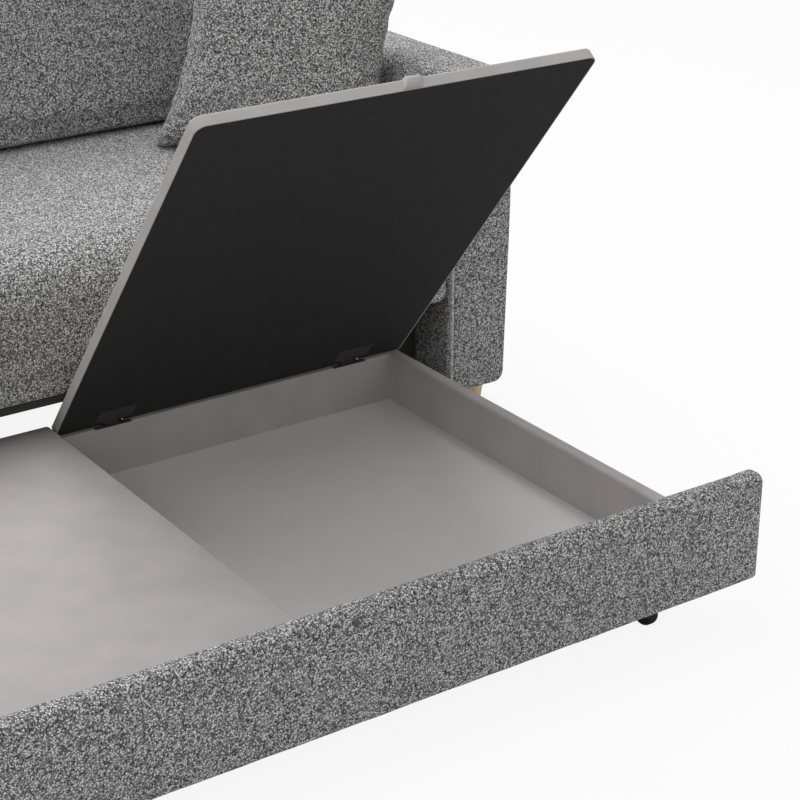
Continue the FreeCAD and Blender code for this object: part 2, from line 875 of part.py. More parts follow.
def build_sofa():
    """Arms, back, seat, runner rails, skirt and legs."""
    bolts = [frame_bolt(side, y) for side in (-1, 1) for y in bolt_y]
    screws = []
    for place in leg_places.values():
        screws.extend(leg_screws(*place))
    fasteners = bolts + screws
    frame = arm_carcass()
    cover = arm_outer().cut(box(
        arm_inner_x + arm_padding, arm_outer_x - arm_padding, arm_y + arm_padding,
        rear_y - arm_padding, arm_low + arm_padding, arm_top - arm_padding))
    save("right_arm_frame", less(frame, fasteners))
    save("left_arm_frame", less(mirrored(frame), fasteners))
    cover = less(cover, fasteners)
    save("right_arm_upholstery", cover)
    save("left_arm_upholstery", mirrored(cover))
    half = arm_inner_x - back_side_gap - back_padding
    save("back_frame", back_carcass())
    save("back_upholstery", back_outer().cut(polygon_prism(back_outline(back_padding), -half, half)))
    save("seat_front_rail", seat_rail(rail_y))
    save("seat_rear_rail", seat_rail(rail_rear_y - seat_rail_thickness))
    side = rail_x - seat_rail_thickness / 2
    save("seat_side_rails", seat_cross_rail(-side), seat_cross_rail(side))
    save("seat_centre_rail", seat_cross_rail(0))
    save("seat_webbing", *seat_straps())
    pocket = box(-rail_x, rail_x, rail_y, rail_rear_y, base_top - 1, strap_top)
    save("seat_upholstery", seat_outer().cut(pocket))
    save("seat_base_board", base_board())
    save("right_runner_rail", less(runner_rail(), bolts))
    save("left_runner_rail", less(mirrored(runner_rail()), bolts))
    save("rear_skirt", rear_skirt())
    save("frame_bolts", *bolts)
    save("leg_screws", *screws)
    plates = [less(leg_plate_blank(*place), screws) for place in leg_places.values()]
    save("leg_plates", *plates)
    for name, place in leg_places.items():
        save("leg_" + name, leg(*place))


def build_cushions():
    """Two back cushions and the throw pillow."""
    cushion = back_cushion()
    save("right_back_cushion", cushion)
    save("left_back_cushion", mirrored(cushion))
    save("throw_pillow", throw_pillow())


os.makedirs("parts", exist_ok=True)
build_pull_out()
build_lids()
build_sofa()
build_cushions()
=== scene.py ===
import json
import logging
import math
from dataclasses import dataclass
from enum import Enum
from typing import Callable, Sequence

import bpy
import numpy as np
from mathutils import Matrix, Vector

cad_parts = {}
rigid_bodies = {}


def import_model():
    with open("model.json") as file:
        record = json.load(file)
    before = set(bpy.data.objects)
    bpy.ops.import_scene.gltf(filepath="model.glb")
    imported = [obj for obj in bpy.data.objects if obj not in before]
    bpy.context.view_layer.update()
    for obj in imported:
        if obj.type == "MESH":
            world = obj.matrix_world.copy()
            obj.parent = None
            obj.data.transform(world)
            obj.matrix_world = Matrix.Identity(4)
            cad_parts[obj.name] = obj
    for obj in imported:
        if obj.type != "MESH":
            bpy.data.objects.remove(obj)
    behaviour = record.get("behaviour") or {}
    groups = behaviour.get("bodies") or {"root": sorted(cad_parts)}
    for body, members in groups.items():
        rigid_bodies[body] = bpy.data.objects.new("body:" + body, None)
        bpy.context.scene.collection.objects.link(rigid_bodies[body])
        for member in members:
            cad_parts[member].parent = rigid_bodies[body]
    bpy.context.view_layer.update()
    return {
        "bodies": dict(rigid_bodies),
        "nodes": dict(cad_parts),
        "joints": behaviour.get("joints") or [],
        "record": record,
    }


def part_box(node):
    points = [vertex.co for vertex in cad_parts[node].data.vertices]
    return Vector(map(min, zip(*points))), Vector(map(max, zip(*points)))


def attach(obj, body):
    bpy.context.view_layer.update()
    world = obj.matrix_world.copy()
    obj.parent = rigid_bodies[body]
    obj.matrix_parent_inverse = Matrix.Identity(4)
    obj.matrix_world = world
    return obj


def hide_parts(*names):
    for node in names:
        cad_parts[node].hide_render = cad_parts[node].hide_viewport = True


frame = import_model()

# Looks of a storage sofa bed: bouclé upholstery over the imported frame, metres throughout.
MM = 0.001
log = logging.getLogger("sofa")
Socket = bpy.types.NodeSocket
Value = Socket | float


def srgb(code: str) -> tuple[float, float, float, float]:
    """Turn six sRGB hex digits into the linear colour, with alpha, that shaders read."""
    parts = [int(code[i:i + 2], 16) / 255 for i in (0, 2, 4)]
    linear = [c / 12.92 if c <= 0.04045 else ((c + 0.055) / 1.055) ** 2.4 for c in parts]
    return (linear[0], linear[1], linear[2], 1.0)


def feed(node: bpy.types.Node, inputs: dict) -> None:
    """Set or link a node's inputs.

    Args:
        node: the node.
        inputs: socket name or index to a value, or to the output that feeds it.
    """
    for socket, value in inputs.items():
        if isinstance(value, Socket):
            node.id_data.links.new(value, node.inputs[socket])
        else:
            node.inputs[socket].default_value = value


def add_node(tree: bpy.types.NodeTree, kind: str, settings: dict | None = None,
             inputs: dict | None = None) -> bpy.types.Node:
    """Add one shader node, set it up and link it.

    Args:
        tree: the node tree that gets the node.
        kind: the node's class name.
        settings: attribute values.
        inputs: what its sockets get, as feed has it.

    Returns:
        The new node.
    """
    node = tree.nodes.new(kind)
    for name, value in (settings or {}).items():
        setattr(node, name, value)
    feed(node, inputs or {})
    return node


def combine(tree: bpy.types.NodeTree, operation: str, first: Value, second: Value) -> Socket:
    """Two values combined by one operation of arithmetic."""
    return add_node(tree, "ShaderNodeMath", {"operation": operation}, {
        0: first, 1: second}).outputs[0]


def noise(place: Socket, size_mm: float, detail: float, distortion: float = 0.0) -> Socket:
    """A noise over the object, whose patches have a real size in millimetres."""
    return add_node(place.id_data, "ShaderNodeTexNoise", inputs={
        "Vector": place, "Scale": per_metre(size_mm), "Detail": detail,
        "Distortion": distortion}).outputs[0]


def stretched(place: Socket, scale: tuple[float, float, float]) -> Socket:
    """The place on the object scaled along each axis; a small scale draws a pattern long."""
    return add_node(place.id_data, "ShaderNodeMapping", inputs={
        "Vector": place, "Scale": scale}).outputs[0]


def ramp(value: Socket, stops: Sequence[tuple[float, str]]) -> Socket:
    """A colour for each value, by stops that have a value and an sRGB hex colour."""
    node = add_node(value.id_data, "ShaderNodeValToRGB", inputs={0: value})
    elements = node.color_ramp.elements
    while len(elements) < len(stops):
        elements.new(0.5)
    for element, (place, code) in zip(elements, stops):
        element.position = place
        element.color = srgb(code)
    return node.outputs["Color"]


def emboss(shader: bpy.types.Node, height: Socket, strength: float, depth_mm: float) -> None:
    """Give a shader's surface relief of a real depth in millimetres."""
    bump = add_node(shader.id_data, "ShaderNodeBump", inputs={
        "Strength": strength, "Distance": depth_mm * MM, "Height": height})
    feed(shader, {"Normal": bump.outputs[0]})


def per_metre(size_mm: float) -> float:
    """How many times a pattern of a real size in millimetres repeats in a metre."""
    return 1000.0 / size_mm


class Grain(Enum):
    """Which way a wood's grain runs."""

    ALONG_X = (0.06, 1.0, 1.0)
    ALONG_Y = (1.0, 0.06, 1.0)
    ALONG_Z = (1.0, 1.0, 0.06)


@dataclass(frozen=True)
class Finish:
    """A real material: what every finish has.

    Attributes:
        name: the material's name.
        roughness: how matt it is, 0 to 1.
        ior: index of refraction.
    """

    name: str
    roughness: float = 0.9
    ior: float = 1.5

    def new(self) -> tuple[bpy.types.Material, bpy.types.NodeTree, bpy.types.Node, Socket]:
        """An empty material with its tree, its shader and the place on the object."""
        material = bpy.data.materials.new(self.name)
        material.use_nodes = True
        tree = material.node_tree
        shader = tree.nodes["Principled BSDF"]
        feed(shader, {"Roughness": self.roughness, "IOR": self.ior})
        place = add_node(tree, "ShaderNodeTexCoord").outputs["Object"]
        return material, tree, shader, place

    def build(self) -> bpy.types.Material:
        """Make the material; each kind of finish says how."""
        raise NotImplementedError


@dataclass(frozen=True)
class Boucle(Finish):
    """Bouclé: a woven cloth of looped, flecked yarn, which looks like salt and pepper.

    Attributes:
        loop_mm: width of one loop of yarn.
        fleck_mm: width of one fleck in the yarn.
        turn: turns the pattern off the axes, because flat sides along its cells show bands.
        dark, middle, light: the yarn's three greys.
        spread: where the three greys lie in the mix of loop and fleck.
        edge: from where to where the painted shade falls off from a loop into its gap, as shares
            of its width.
        gap: how much light the painted shade leaves in the gaps between loops.
        relief_mm: how far a loop stands up.
    """

    loop_mm: float = 2.6
    fleck_mm: float = 1.2
    turn: tuple[float, float, float] = (0.6, 0.5, 0.3)
    dark: str = "4a4a4b"
    middle: str = "d4d4d4"
    light: str = "ffffff"
    spread: tuple[float, float, float] = (0.3, 0.5, 0.7)
    edge: tuple[float, float] = (0.22, 0.62)
    gap: float = 0.27
    relief_mm: float = 0.9

    def build(self) -> bpy.types.Material:
        """Loops are rounded cells; each cell and each fleck has its own grey, and painted shade
        darkens the gaps.
        """
        material, tree, shader, straight = self.new()
        place = add_node(tree, "ShaderNodeMapping", inputs={
            "Vector": straight, "Rotation": self.turn}).outputs[0]
        loops, flecks = (add_node(tree, "ShaderNodeTexVoronoi", inputs={
            "Vector": place, "Scale": per_metre(size)}) for size in (self.loop_mm, self.fleck_mm))
        loop_tone, fleck_tone = (add_node(tree, "ShaderNodeSeparateColor", inputs={
            0: cells.outputs["Color"]}) for cells in (loops, flecks))
        tone = add_node(tree, "ShaderNodeMix", inputs={
            0: 0.5, 2: loop_tone.outputs[0], 3: fleck_tone.outputs[1]})
        greys = ramp(tone.outputs[0],
                     list(zip(self.spread, (self.dark, self.middle, self.light))))
        # Painted shade: the gaps between loops are darkened as if in shadow.
        painted_gap_shade = add_node(tree, "ShaderNodeMapRange", inputs={
            0: loops.outputs["Distance"], 1: self.edge[0], 2: self.edge[1], 3: 1.0, 4: self.gap})
        shaded = add_node(tree, "ShaderNodeMix", {"data_type": "RGBA", "blend_type": "MULTIPLY"}, {
            0: 1.0, 6: greys, 7: painted_gap_shade.outputs[0]})
        height = combine(tree, "SUBTRACT", 1.0, loops.outputs["Distance"])
        emboss(shader, height, strength=0.7, depth_mm=self.relief_mm)
        feed(shader, {"Base Color": shaded.outputs[2], "Sheen Weight": 0.12,
                      "Specular IOR Level": 0.25})
        return material


@dataclass(frozen=True)
class PlainCloth(Finish):
    """A smooth, tightly woven cloth glued over board: faint mottling, no visible weave.

    Attributes:
        colour: its middle colour.
        shade: its darker colour.
        mottle_mm: size of the soft patches.
        thread_mm: thread spacing, drawn coarser than real so that it shows at all.
    """

    colour: str = "b6b1af"
    shade: str = "aeaaa7"
    mottle_mm: float = 60.0
    thread_mm: float = 1.2

    def build(self) -> bpy.types.Material:
        """Soft patches of two close colours, with a fine crossed thread in the bump."""
        material, _, shader, place = self.new()
        patches = noise(place, self.mottle_mm, detail=5.0)
        colour = ramp(patches, [(0.35, self.shade), (0.65, self.colour)])
        emboss(shader, noise(place, self.thread_mm, detail=2.0), strength=0.12, depth_mm=0.2)
        feed(shader, {"Base Color": colour, "Specular IOR Level": 0.3})
        return material


@dataclass(frozen=True)
class BlackLining(Finish):
    """Spun-bonded black lining: nearly black, with short pale fibres lying both ways.

    Attributes:
        colour: the lining's black.
        fibre: the colour of the fibres that catch the light.
        fibre_mm: width of a fibre bundle.
    """

    colour: str = "2a2a2a"
    fibre: str = "333333"
    fibre_mm: float = 4.0

    def build(self) -> bpy.types.Material:
        """Two stretched noises, one each way, lighten the black here and there."""
        material, tree, shader, place = self.new()
        across, upright = (noise(stretched(place, scale), self.fibre_mm, detail=2.0)
                           for scale in ((0.12, 1.0, 1.0), (1.0, 0.12, 0.12)))
        both = combine(tree, "MAXIMUM", across, upright)
        emboss(shader, both, strength=0.3, depth_mm=0.2)
        feed(shader, {"Base Color": ramp(both, [(0.55, self.colour), (0.8, self.fibre)]),
                      "Specular IOR Level": 0.2})
        return material


@dataclass(frozen=True)
class Wood(Finish):
    """Solid or faced wood: growth lines stretched along the grain.

    Attributes:
        early, late: the pale and the dark part of a growth ring.
        ring_mm: spacing of the growth lines.
        grain: which way the grain runs.
        coat: how much clear varnish shines on it.
    """

    early: str = "f2dcb4"
    late: str = "e2c08c"
    ring_mm: float = 6.0
    grain: Grain = Grain.ALONG_Z
    coat: float = 0.3

    def build(self) -> bpy.types.Material:
        """A noise stretched along the grain picks between the two tones."""
        material, _, shader, place = self.new()
        lines = noise(stretched(place, self.grain.value), self.ring_mm, detail=6.0,
                      distortion=0.6)
        emboss(shader, lines, strength=0.15, depth_mm=0.1)
        feed(shader, {"Base Color": ramp(lines, [(0.35, self.late), (0.62, self.early)]),
                      "Coat Weight": self.coat, "Coat Roughness": 0.25})
        return material


@dataclass(frozen=True)
class Metal(Finish):
    """Plated or lacquered steel, or moulded plastic: one colour with a fine grit.

    Attributes:
        colour: the surface's colour.
        metallic: 1 for bare or plated metal, 0 for lacquer and plastic.
        grit_mm: size of the plating's grain or the lacquer's texture.
    """

    colour: str = "b8b8b6"
    metallic: float = 1.0
    grit_mm: float = 1.0

    def build(self) -> bpy.types.Material:
        """An even surface whose roughness wanders a little."""
        material, tree, shader, place = self.new()
        grit = noise(place, self.grit_mm, detail=3.0)
        spread = add_node(tree, "ShaderNodeMapRange", inputs={
            0: grit, 3: self.roughness - 0.08, 4: self.roughness + 0.1})
        emboss(shader, grit, strength=0.1, depth_mm=0.05)
        feed(shader, {"Base Color": srgb(self.colour), "Metallic": self.metallic,
                      "Roughness": spread.outputs[0]})
        return material


# Every finish of the sofa
FINISHES: tuple[Finish, ...] = (
    Boucle("boucle"),
    # The welt is the same bouclé painted paler, with less painted shade in its gaps: a painted
    # highlight along the cord, so that it reads as one pale line.
    Boucle("boucle_welt_highlight", loop_mm=1.8, gap=0.6, dark="8a8a8b", middle="d8d8d8"),
    PlainCloth("box_cloth"),
    # Floor boards, smoother than the cloth round them and painted much paler: painted light that
    # makes up for the raised lid's shade on the box floor.
    PlainCloth("box_floor_board", colour="ebe7e5", shade="e8e4e2", roughness=0.7),
    PlainCloth("elastic_webbing", colour="8b8470", shade="6f6958", mottle_mm=8.0),
    BlackLining("spun_black_lining"),
    BlackLining("black_base_cloth", colour="3a3b38", fibre="444542"),
    # Turned beech under clear varnish: pale, with soft highlights.
    Wood("varnished_beech", roughness=0.45),
    Wood("planed_pine", early="dcc193", late="c39c68", grain=Grain.ALONG_X, coat=0.0,
         roughness=0.7),
    Wood("particle_board", early="c4a67c", late="a98a60", ring_mm=2.0, grain=Grain.ALONG_X,
         coat=0.0, roughness=0.8),
    Metal("zinc_plated_steel", roughness=0.35),
    # Matt lacquer on the hinges and castor brackets: nearly no highlight.
    Metal("black_lacquered_steel", colour="403d3e", metallic=0.0, roughness=0.75, ior=1.3),
    Metal("moulded_black_plastic", colour="141414", metallic=0.0, roughness=0.5, ior=1.49))

Palette = dict[str, bpy.types.Material]

# The CAD nodes that stay in view, by their finish
CORNERS = ("front_left", "front_right", "rear_left", "rear_right")
PAINTED: dict[str, tuple[str, ...]] = {
    "box_cloth": ("box_front_wall", "box_rear_wall", "box_left_wall", "box_right_wall",
                  "box_divider", "left_lid_cover", "right_lid_cover"),
    # Painted light: the floor boards are painted paler to make up for the lid's shade.
    "box_floor_board": ("left_floor_panel", "right_floor_panel"),
    "elastic_webbing": ("seat_webbing",),
    "spun_black_lining": ("left_lid_lining", "right_lid_lining"),
    "black_base_cloth": ("seat_base_board", "left_runner_rail", "right_runner_rail",
                         "rear_skirt"),
    "varnished_beech": tuple("leg_" + corner for corner in CORNERS),
    "planed_pine": ("seat_front_rail", "seat_rear_rail", "seat_side_rails", "seat_centre_rail",
                    "left_arm_frame", "right_arm_frame", "back_frame"),
    "particle_board": ("panel_board", "left_lid_board", "right_lid_board"),
    "zinc_plated_steel": ("box_screws", "panel_screws", "castor_screws", "castor_axles",
                          "frame_bolts", "leg_plates", "leg_screws"),
    "black_lacquered_steel": ("hinge_brackets", "hinge_pins", "left_hinge_leaves",
                              "right_hinge_leaves",
                              *("castor_bracket_" + corner for corner in CORNERS)),
    "moulded_black_plastic": tuple("castor_wheel_" + corner for corner in CORNERS)}


# Surfaces worked out with numpy
LEAST_RADIUS = 0.6 * MM


def rounded_outline(corners: Sequence[tuple[float, float]], radii: Sequence[float],
                    inset: float, arc_points: int, edge_points: int) -> np.ndarray:
    """A convex outline with round corners, moved inwards.

    Each edge line is moved in by the inset, neighbours are crossed to find the new corners,
    and each corner is rounded by an arc that touches both of its edges. An arc's radius shrinks
    with the inset, but not below LEAST_RADIUS.

    Args:
        corners: the corners in order, anticlockwise.
        radii: the rounding at each corner.
        inset: how far the outline moves in.
        arc_points: points on each arc.
        edge_points: points inside each straight edge.

    Returns:
        Points of the closed outline, one row each, the same count whatever the inset.
    """
    corner = np.asarray(corners, float)
    ahead = np.roll(corner, -1, axis=0) - corner
    ahead /= np.linalg.norm(ahead, axis=1)[:, None]
    inward = np.stack([-ahead[:, 1], ahead[:, 0]], axis=1)
    before = np.roll(ahead, 1, axis=0)
    inward_before = np.roll(inward, 1, axis=0)
    cosine = np.sum(inward * inward_before, axis=1)
    moved = corner + inset * (inward + inward_before) / (1 + cosine)[:, None]
    turn = np.arccos(np.clip(np.sum(ahead * before, axis=1), -1, 1))
    radius = np.maximum(np.asarray(radii, float) - inset, LEAST_RADIUS)
    reach = radius * np.tan(turn / 2)
    start = moved - before * reach[:, None]
    centre = start + inward_before * radius[:, None]
    share = np.linspace(0, 1, arc_points)[None, :, None]
    first = np.arctan2(-inward_before[:, 1], -inward_before[:, 0])[:, None, None]
    angle = first + share * turn[:, None, None]
    arcs = centre[:, None, :] + radius[:, None, None] * np.concatenate(
        [np.cos(angle), np.sin(angle)], axis=2)
    following = np.roll(arcs[:, 0, :], -1, axis=0)
    step = np.linspace(0, 1, edge_points + 2)[1:-1][None, :, None]
    edges = arcs[:, -1:, :] * (1 - step) + following[:, None, :] * step
    return np.concatenate([arcs, edges], axis=1).reshape(-1, 2)


def eased_stations(low: float, high: float, end_round: float, arc_points: int,
                   middle_points: int) -> list[tuple[float, float]]:
    """Stations along a carried profile whose two ends are rounded over.

    Near each end the inset is a quarter circle: at an angle a it is R(1 - sin a), and the
    station lies R(1 - cos a) in from the end.

    Args:
        low, high: where the piece starts and ends.
        end_round: rounding at both.
        arc_points: stations on each quarter circle.
        middle_points: stations between.

    Returns:
        Pairs of a place and an inset.
    """
    angles = np.linspace(0, math.pi / 2, arc_points)
    in_by, inset = 1 - np.cos(angles), 1 - np.sin(angles)
    head = list(zip(low + end_round * in_by, end_round * inset))
    tail = list(zip(high - end_round * in_by, end_round * inset))
    places = np.linspace(low + end_round, high - end_round, middle_points + 2)[1:-1]
    return head + [(place, 0.0) for place in places] + tail[::-1]


def closed_mesh(name: str, rows: np.ndarray) -> bpy.types.Object:
    """A closed skin over rings of points, with a fan over each end.

    Args:
        name: the piece's name.
        rows: an array of rings, points and coordinates, rings in order.

    Returns:
        The new object, with its place in its mesh.
    """
    rings, around = rows.shape[:2]
    points = np.concatenate([rows.reshape(-1, 3), rows[0].mean(0)[None], rows[-1].mean(0)[None]])
    here = np.arange(rings - 1)[:, None] * around + np.arange(around)[None]
    beside = np.arange(rings - 1)[:, None] * around + (np.arange(around)[None] + 1) % around
    quads = np.stack([here, beside, beside + around, here + around], axis=2).reshape(-1, 4)
    near = np.arange(around)
    after = (near + 1) % around
    first = rings * around
    head = np.stack([np.full(around, first), after, near], axis=1)
    base = (rings - 1) * around
    tail = np.stack([np.full(around, first + 1), base + near, base + after], axis=1)
    return mesh_object(name, points, [quads, head, tail])


def mesh_object(name: str, points: np.ndarray, faces: Sequence[np.ndarray]) -> bpy.types.Object:
    """A smooth-shaded mesh object from arrays, with its faces turned outwards.

    Args:
        name: the piece's name.
        points: one row for each vertex.
        faces: arrays of vertex numbers, each with faces of one kind.

    """
    mesh = bpy.data.meshes.new(name)
    mesh.from_pydata(points.tolist(), [], [f for group in faces for f in group.tolist()])
    mesh.update()
    if signed_volume(mesh) < 0:
        mesh.flip_normals()
    mesh.shade_smooth()
    piece = bpy.data.objects.new(name, mesh)
    bpy.context.scene.collection.objects.link(piece)
    return piece


def signed_volume(mesh: bpy.types.Mesh) -> float:
    """Volume inside a closed mesh, below zero where its faces point inwards."""
    mesh.calc_loop_triangles()
    corners = np.zeros(len(mesh.loop_triangles) * 3, np.int32)
    mesh.loop_triangles.foreach_get("vertices", corners)
    a, b, c = coordinates(mesh)[corners.reshape(-1, 3)].transpose(1, 0, 2)
    return float(np.einsum("ij,ij->", a, np.cross(b, c)) / 6)


def coordinates(mesh: bpy.types.Mesh) -> np.ndarray:
    """A mesh's vertices as an array, one row each."""
    flat = np.zeros(len(mesh.vertices) * 3)
    mesh.vertices.foreach_get("co", flat)
    return flat.reshape(-1, 3)


def carried(name: str, axis: int, corners: Sequence[tuple[float, float]], radii: Sequence[float],
            stations: Sequence[tuple[float, float]], arc_points: int, edge_points: int,
            warp: Callable[[np.ndarray], np.ndarray] | None = None) -> bpy.types.Object:
    """A padded block: a rounded profile carried along an axis, then warped.

    Args:
        name: the piece's name.
        axis: 0, 1 or 2 for the axis that it is carried along.
        corners: the profile's corners in the other two axes, in order.
        radii: the rounding at each corner.
        stations: places along the axis, each with its inset.
        arc_points: points on each corner.
        edge_points: points on each side.
        warp: moves all points at once, given and returning one row each.

    Returns:
        The new object.
    """
    others = [i for i in range(3) if i != axis]
    rings = []
    for place, inset in stations:
        outline = rounded_outline(corners, radii, inset, arc_points, edge_points)
        ring = np.empty((len(outline), 3))
        ring[:, axis] = place
        ring[:, others] = outline
        rings.append(ring)
    rows = np.stack(rings)
    if warp is not None:
        rows = warp(rows.reshape(-1, 3)).reshape(rows.shape)
    return closed_mesh(name, rows)


def cord(name: str, path: np.ndarray, radius: float, sides: int = 12) -> bpy.types.Object:
    """A cord of round section along a path that lies nearly square to X, with closed ends.

    Each ring of the section stands square to the path.

    Args:
        name: the piece's name.
        path: points of the path, one row each.
        radius: the cord's radius.
        sides: points round the section.

    Returns:
        The new object.
    """
    ahead = np.gradient(path, axis=0)
    ahead /= np.linalg.norm(ahead, axis=1)[:, None]
    across = np.cross(ahead, (1.0, 0.0, 0.0))
    across /= np.linalg.norm(across, axis=1)[:, None]
    beside = np.cross(across, ahead)
    angle = np.linspace(0, 2 * math.pi, sides, endpoint=False)[None, :, None]
    rings = path[:, None, :] + radius * (
        np.cos(angle) * across[:, None, :] + np.sin(angle) * beside[:, None, :])
    return closed_mesh(name, rings)


def waves(points: np.ndarray, size: float, seed: int) -> np.ndarray:
    """Slow uneven waves, from -1 to 1, like those of padding under cloth.

    A few sines of random direction and phase are added, each 0.7 to 1.6 times as long as the size.

    Args:
        points: one row each.
        size: rough length of a wave, in metres.
        seed: picks the directions and phases.

    Returns:
        One value for each point.
    """
    count = 6
    chance = np.random.default_rng(seed)
    way = chance.normal(size=(count, 3))
    way /= np.linalg.norm(way, axis=1)[:, None]
    length = size * chance.uniform(0.7, 1.6, count)
    phase = chance.uniform(0, 2 * math.pi, count)
    return np.sin(points @ (way / length[:, None]).T * 2 * math.pi + phase).mean(axis=1)


def bulge(values: np.ndarray, low: float, high: float) -> np.ndarray:
    """A flat hump: 0 at both limits, 1 midway, after 1 - t to the fourth."""
    share = np.clip((values - low) / (high - low), 0, 1) * 2 - 1
    return 1 - share ** 4


def bake(piece: bpy.types.Object) -> None:
    """Put what a piece's modifiers make of it into its mesh, and clear them."""
    evaluated = piece.evaluated_get(bpy.context.evaluated_depsgraph_get())
    before = piece.data
    after = bpy.data.meshes.new_from_object(evaluated)
    piece.modifiers.clear()
    piece.data = after
    bpy.data.meshes.remove(before)
    after.name = piece.name
    after.shade_smooth()


@dataclass(frozen=True)
class Swelling:
    """A short cloth simulation that blows a padded skin up until it looks filled.

    Attributes:
        cell: the size of the even cells that the skin is remade in, or 0 to keep its own.
        pressure: how hard it is blown up.
        surplus: how much wider than its form the cloth is cut, as a share, which lets it ripple.
        reach: how far a point may move.
        give: the share that is kept of a movement inwards, so that edges stay where they are.
        frames: how long it swells.
    """

    cell: float = 0.0
    pressure: float = 4.0
    surplus: float = 0.0
    reach: float = 25 * MM
    give: float = 0.05
    frames: int = 20

    def apply(self, piece: bpy.types.Object, hold: Callable[[np.ndarray], np.ndarray]) -> None:
        """Simulate, keep the shape that results, and divide it once.

        Args:
            piece: the padded piece.
            hold: keeps points off what the piece rests on, given and returning one row each.
        """
        scene = bpy.context.scene
        if self.cell:
            remesh = piece.modifiers.new("even_cells", "REMESH")
            remesh.mode = "VOXEL"
            remesh.voxel_size = self.cell
            bake(piece)
        start = coordinates(piece.data)
        outward = np.zeros(start.size)
        piece.data.vertices.foreach_get("normal", outward)
        outward = outward.reshape(-1, 3)
        cloth = piece.modifiers.new("cloth", "CLOTH")
        cloth.settings.use_pressure = True
        cloth.settings.uniform_pressure_force = self.pressure
        cloth.settings.shrink_min = -self.surplus
        cloth.settings.effector_weights.gravity = 0.0
        cloth.point_cache.frame_start = 1
        cloth.point_cache.frame_end = self.frames
        for frame in range(1, self.frames + 1):
            scene.frame_set(frame)
        bake(piece)
        scene.frame_set(1)
        swelled = np.sum((coordinates(piece.data) - start) * outward, axis=1)
        swelled = np.where(swelled < 0, self.give * swelled, swelled)
        swelled = np.clip(swelled, -self.reach, self.reach)
        piece.data.vertices.foreach_set("co", hold(start + swelled[:, None] * outward).ravel())
        piece.modifiers.new("finer", "SUBSURF").levels = 1
        bake(piece)
        log.info("%s swelled by up to %.1f mm", piece.name, swelled.max() / MM)


def dress(piece: bpy.types.Object, material: bpy.types.Material, body: str, slot: str,
          *nodes: str) -> bpy.types.Object:
    """Give a piece its material and body, and hide the CAD nodes that it stands for.

    Args:
        piece: the piece.
        material: its material.
        body: the CAD body that it rides on.
        slot: the record's material slot; not used.
        nodes: CAD nodes that it replaces.

    Returns:
        The piece.
    """
    piece.data.materials.clear()
    piece.data.materials.append(material)
    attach(piece, body)
    if nodes:
        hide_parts(*nodes)
    log.info("%s rides on %s", piece.name, body)
    return piece


@dataclass
class HardParts:
    """The parts that keep their CAD shapes."""

    def build(self, palette: Palette) -> None:
        """Give each CAD node that stays in view its material."""
        for finish, nodes in PAINTED.items():
            for node in nodes:
                piece = frame["nodes"][node]
                piece.data.materials.clear()
                piece.data.materials.append(palette[finish])


@dataclass
class FrontPanel:
    """The pull-out's padded front.

    Attributes:
        round_top, round_low, round_end: how far its edges are rounded over.
        pad: how far the padding stands proud in the middle.
        wander, wander_size: height and length of the padding's slow waves.
    """

    round_top: float = 15 * MM
    round_low: float = 8 * MM
    round_end: float = 12 * MM
    pad: float = 1.5 * MM
    wander: float = 0.5 * MM
    wander_size: float = 90 * MM

    def build(self, palette: Palette) -> None:
        """The cover replaces the CAD upholstery."""
        low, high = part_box("panel_upholstery")
        corners = [(low.y, low.z), (high.y, low.z), (high.y, high.z), (low.y, high.z)]
        radii = [self.round_low, self.round_low, self.round_top, self.round_top]

        def padded(points: np.ndarray) -> np.ndarray:
            """Push the front out after the flat hump, and let it wander a little."""
            front = np.clip((high.y - points[:, 1]) / (high.y - low.y), 0, 1)
            hump = bulge(points[:, 2], low.z, high.z) * bulge(points[:, 0], low.x, high.x)
            points[:, 1] -= self.pad * front * hump
            points += waves(points, self.wander_size, seed=3)[:, None] * self.wander
            return points

        stations = eased_stations(low.x, high.x, self.round_end, arc_points=9, middle_points=110)
        cover = carried("panel_cover", 0, corners, radii, stations, arc_points=9,
                        edge_points=14, warp=padded)
        dress(cover, palette["boucle"], "drawer", "boucle", "panel_upholstery")


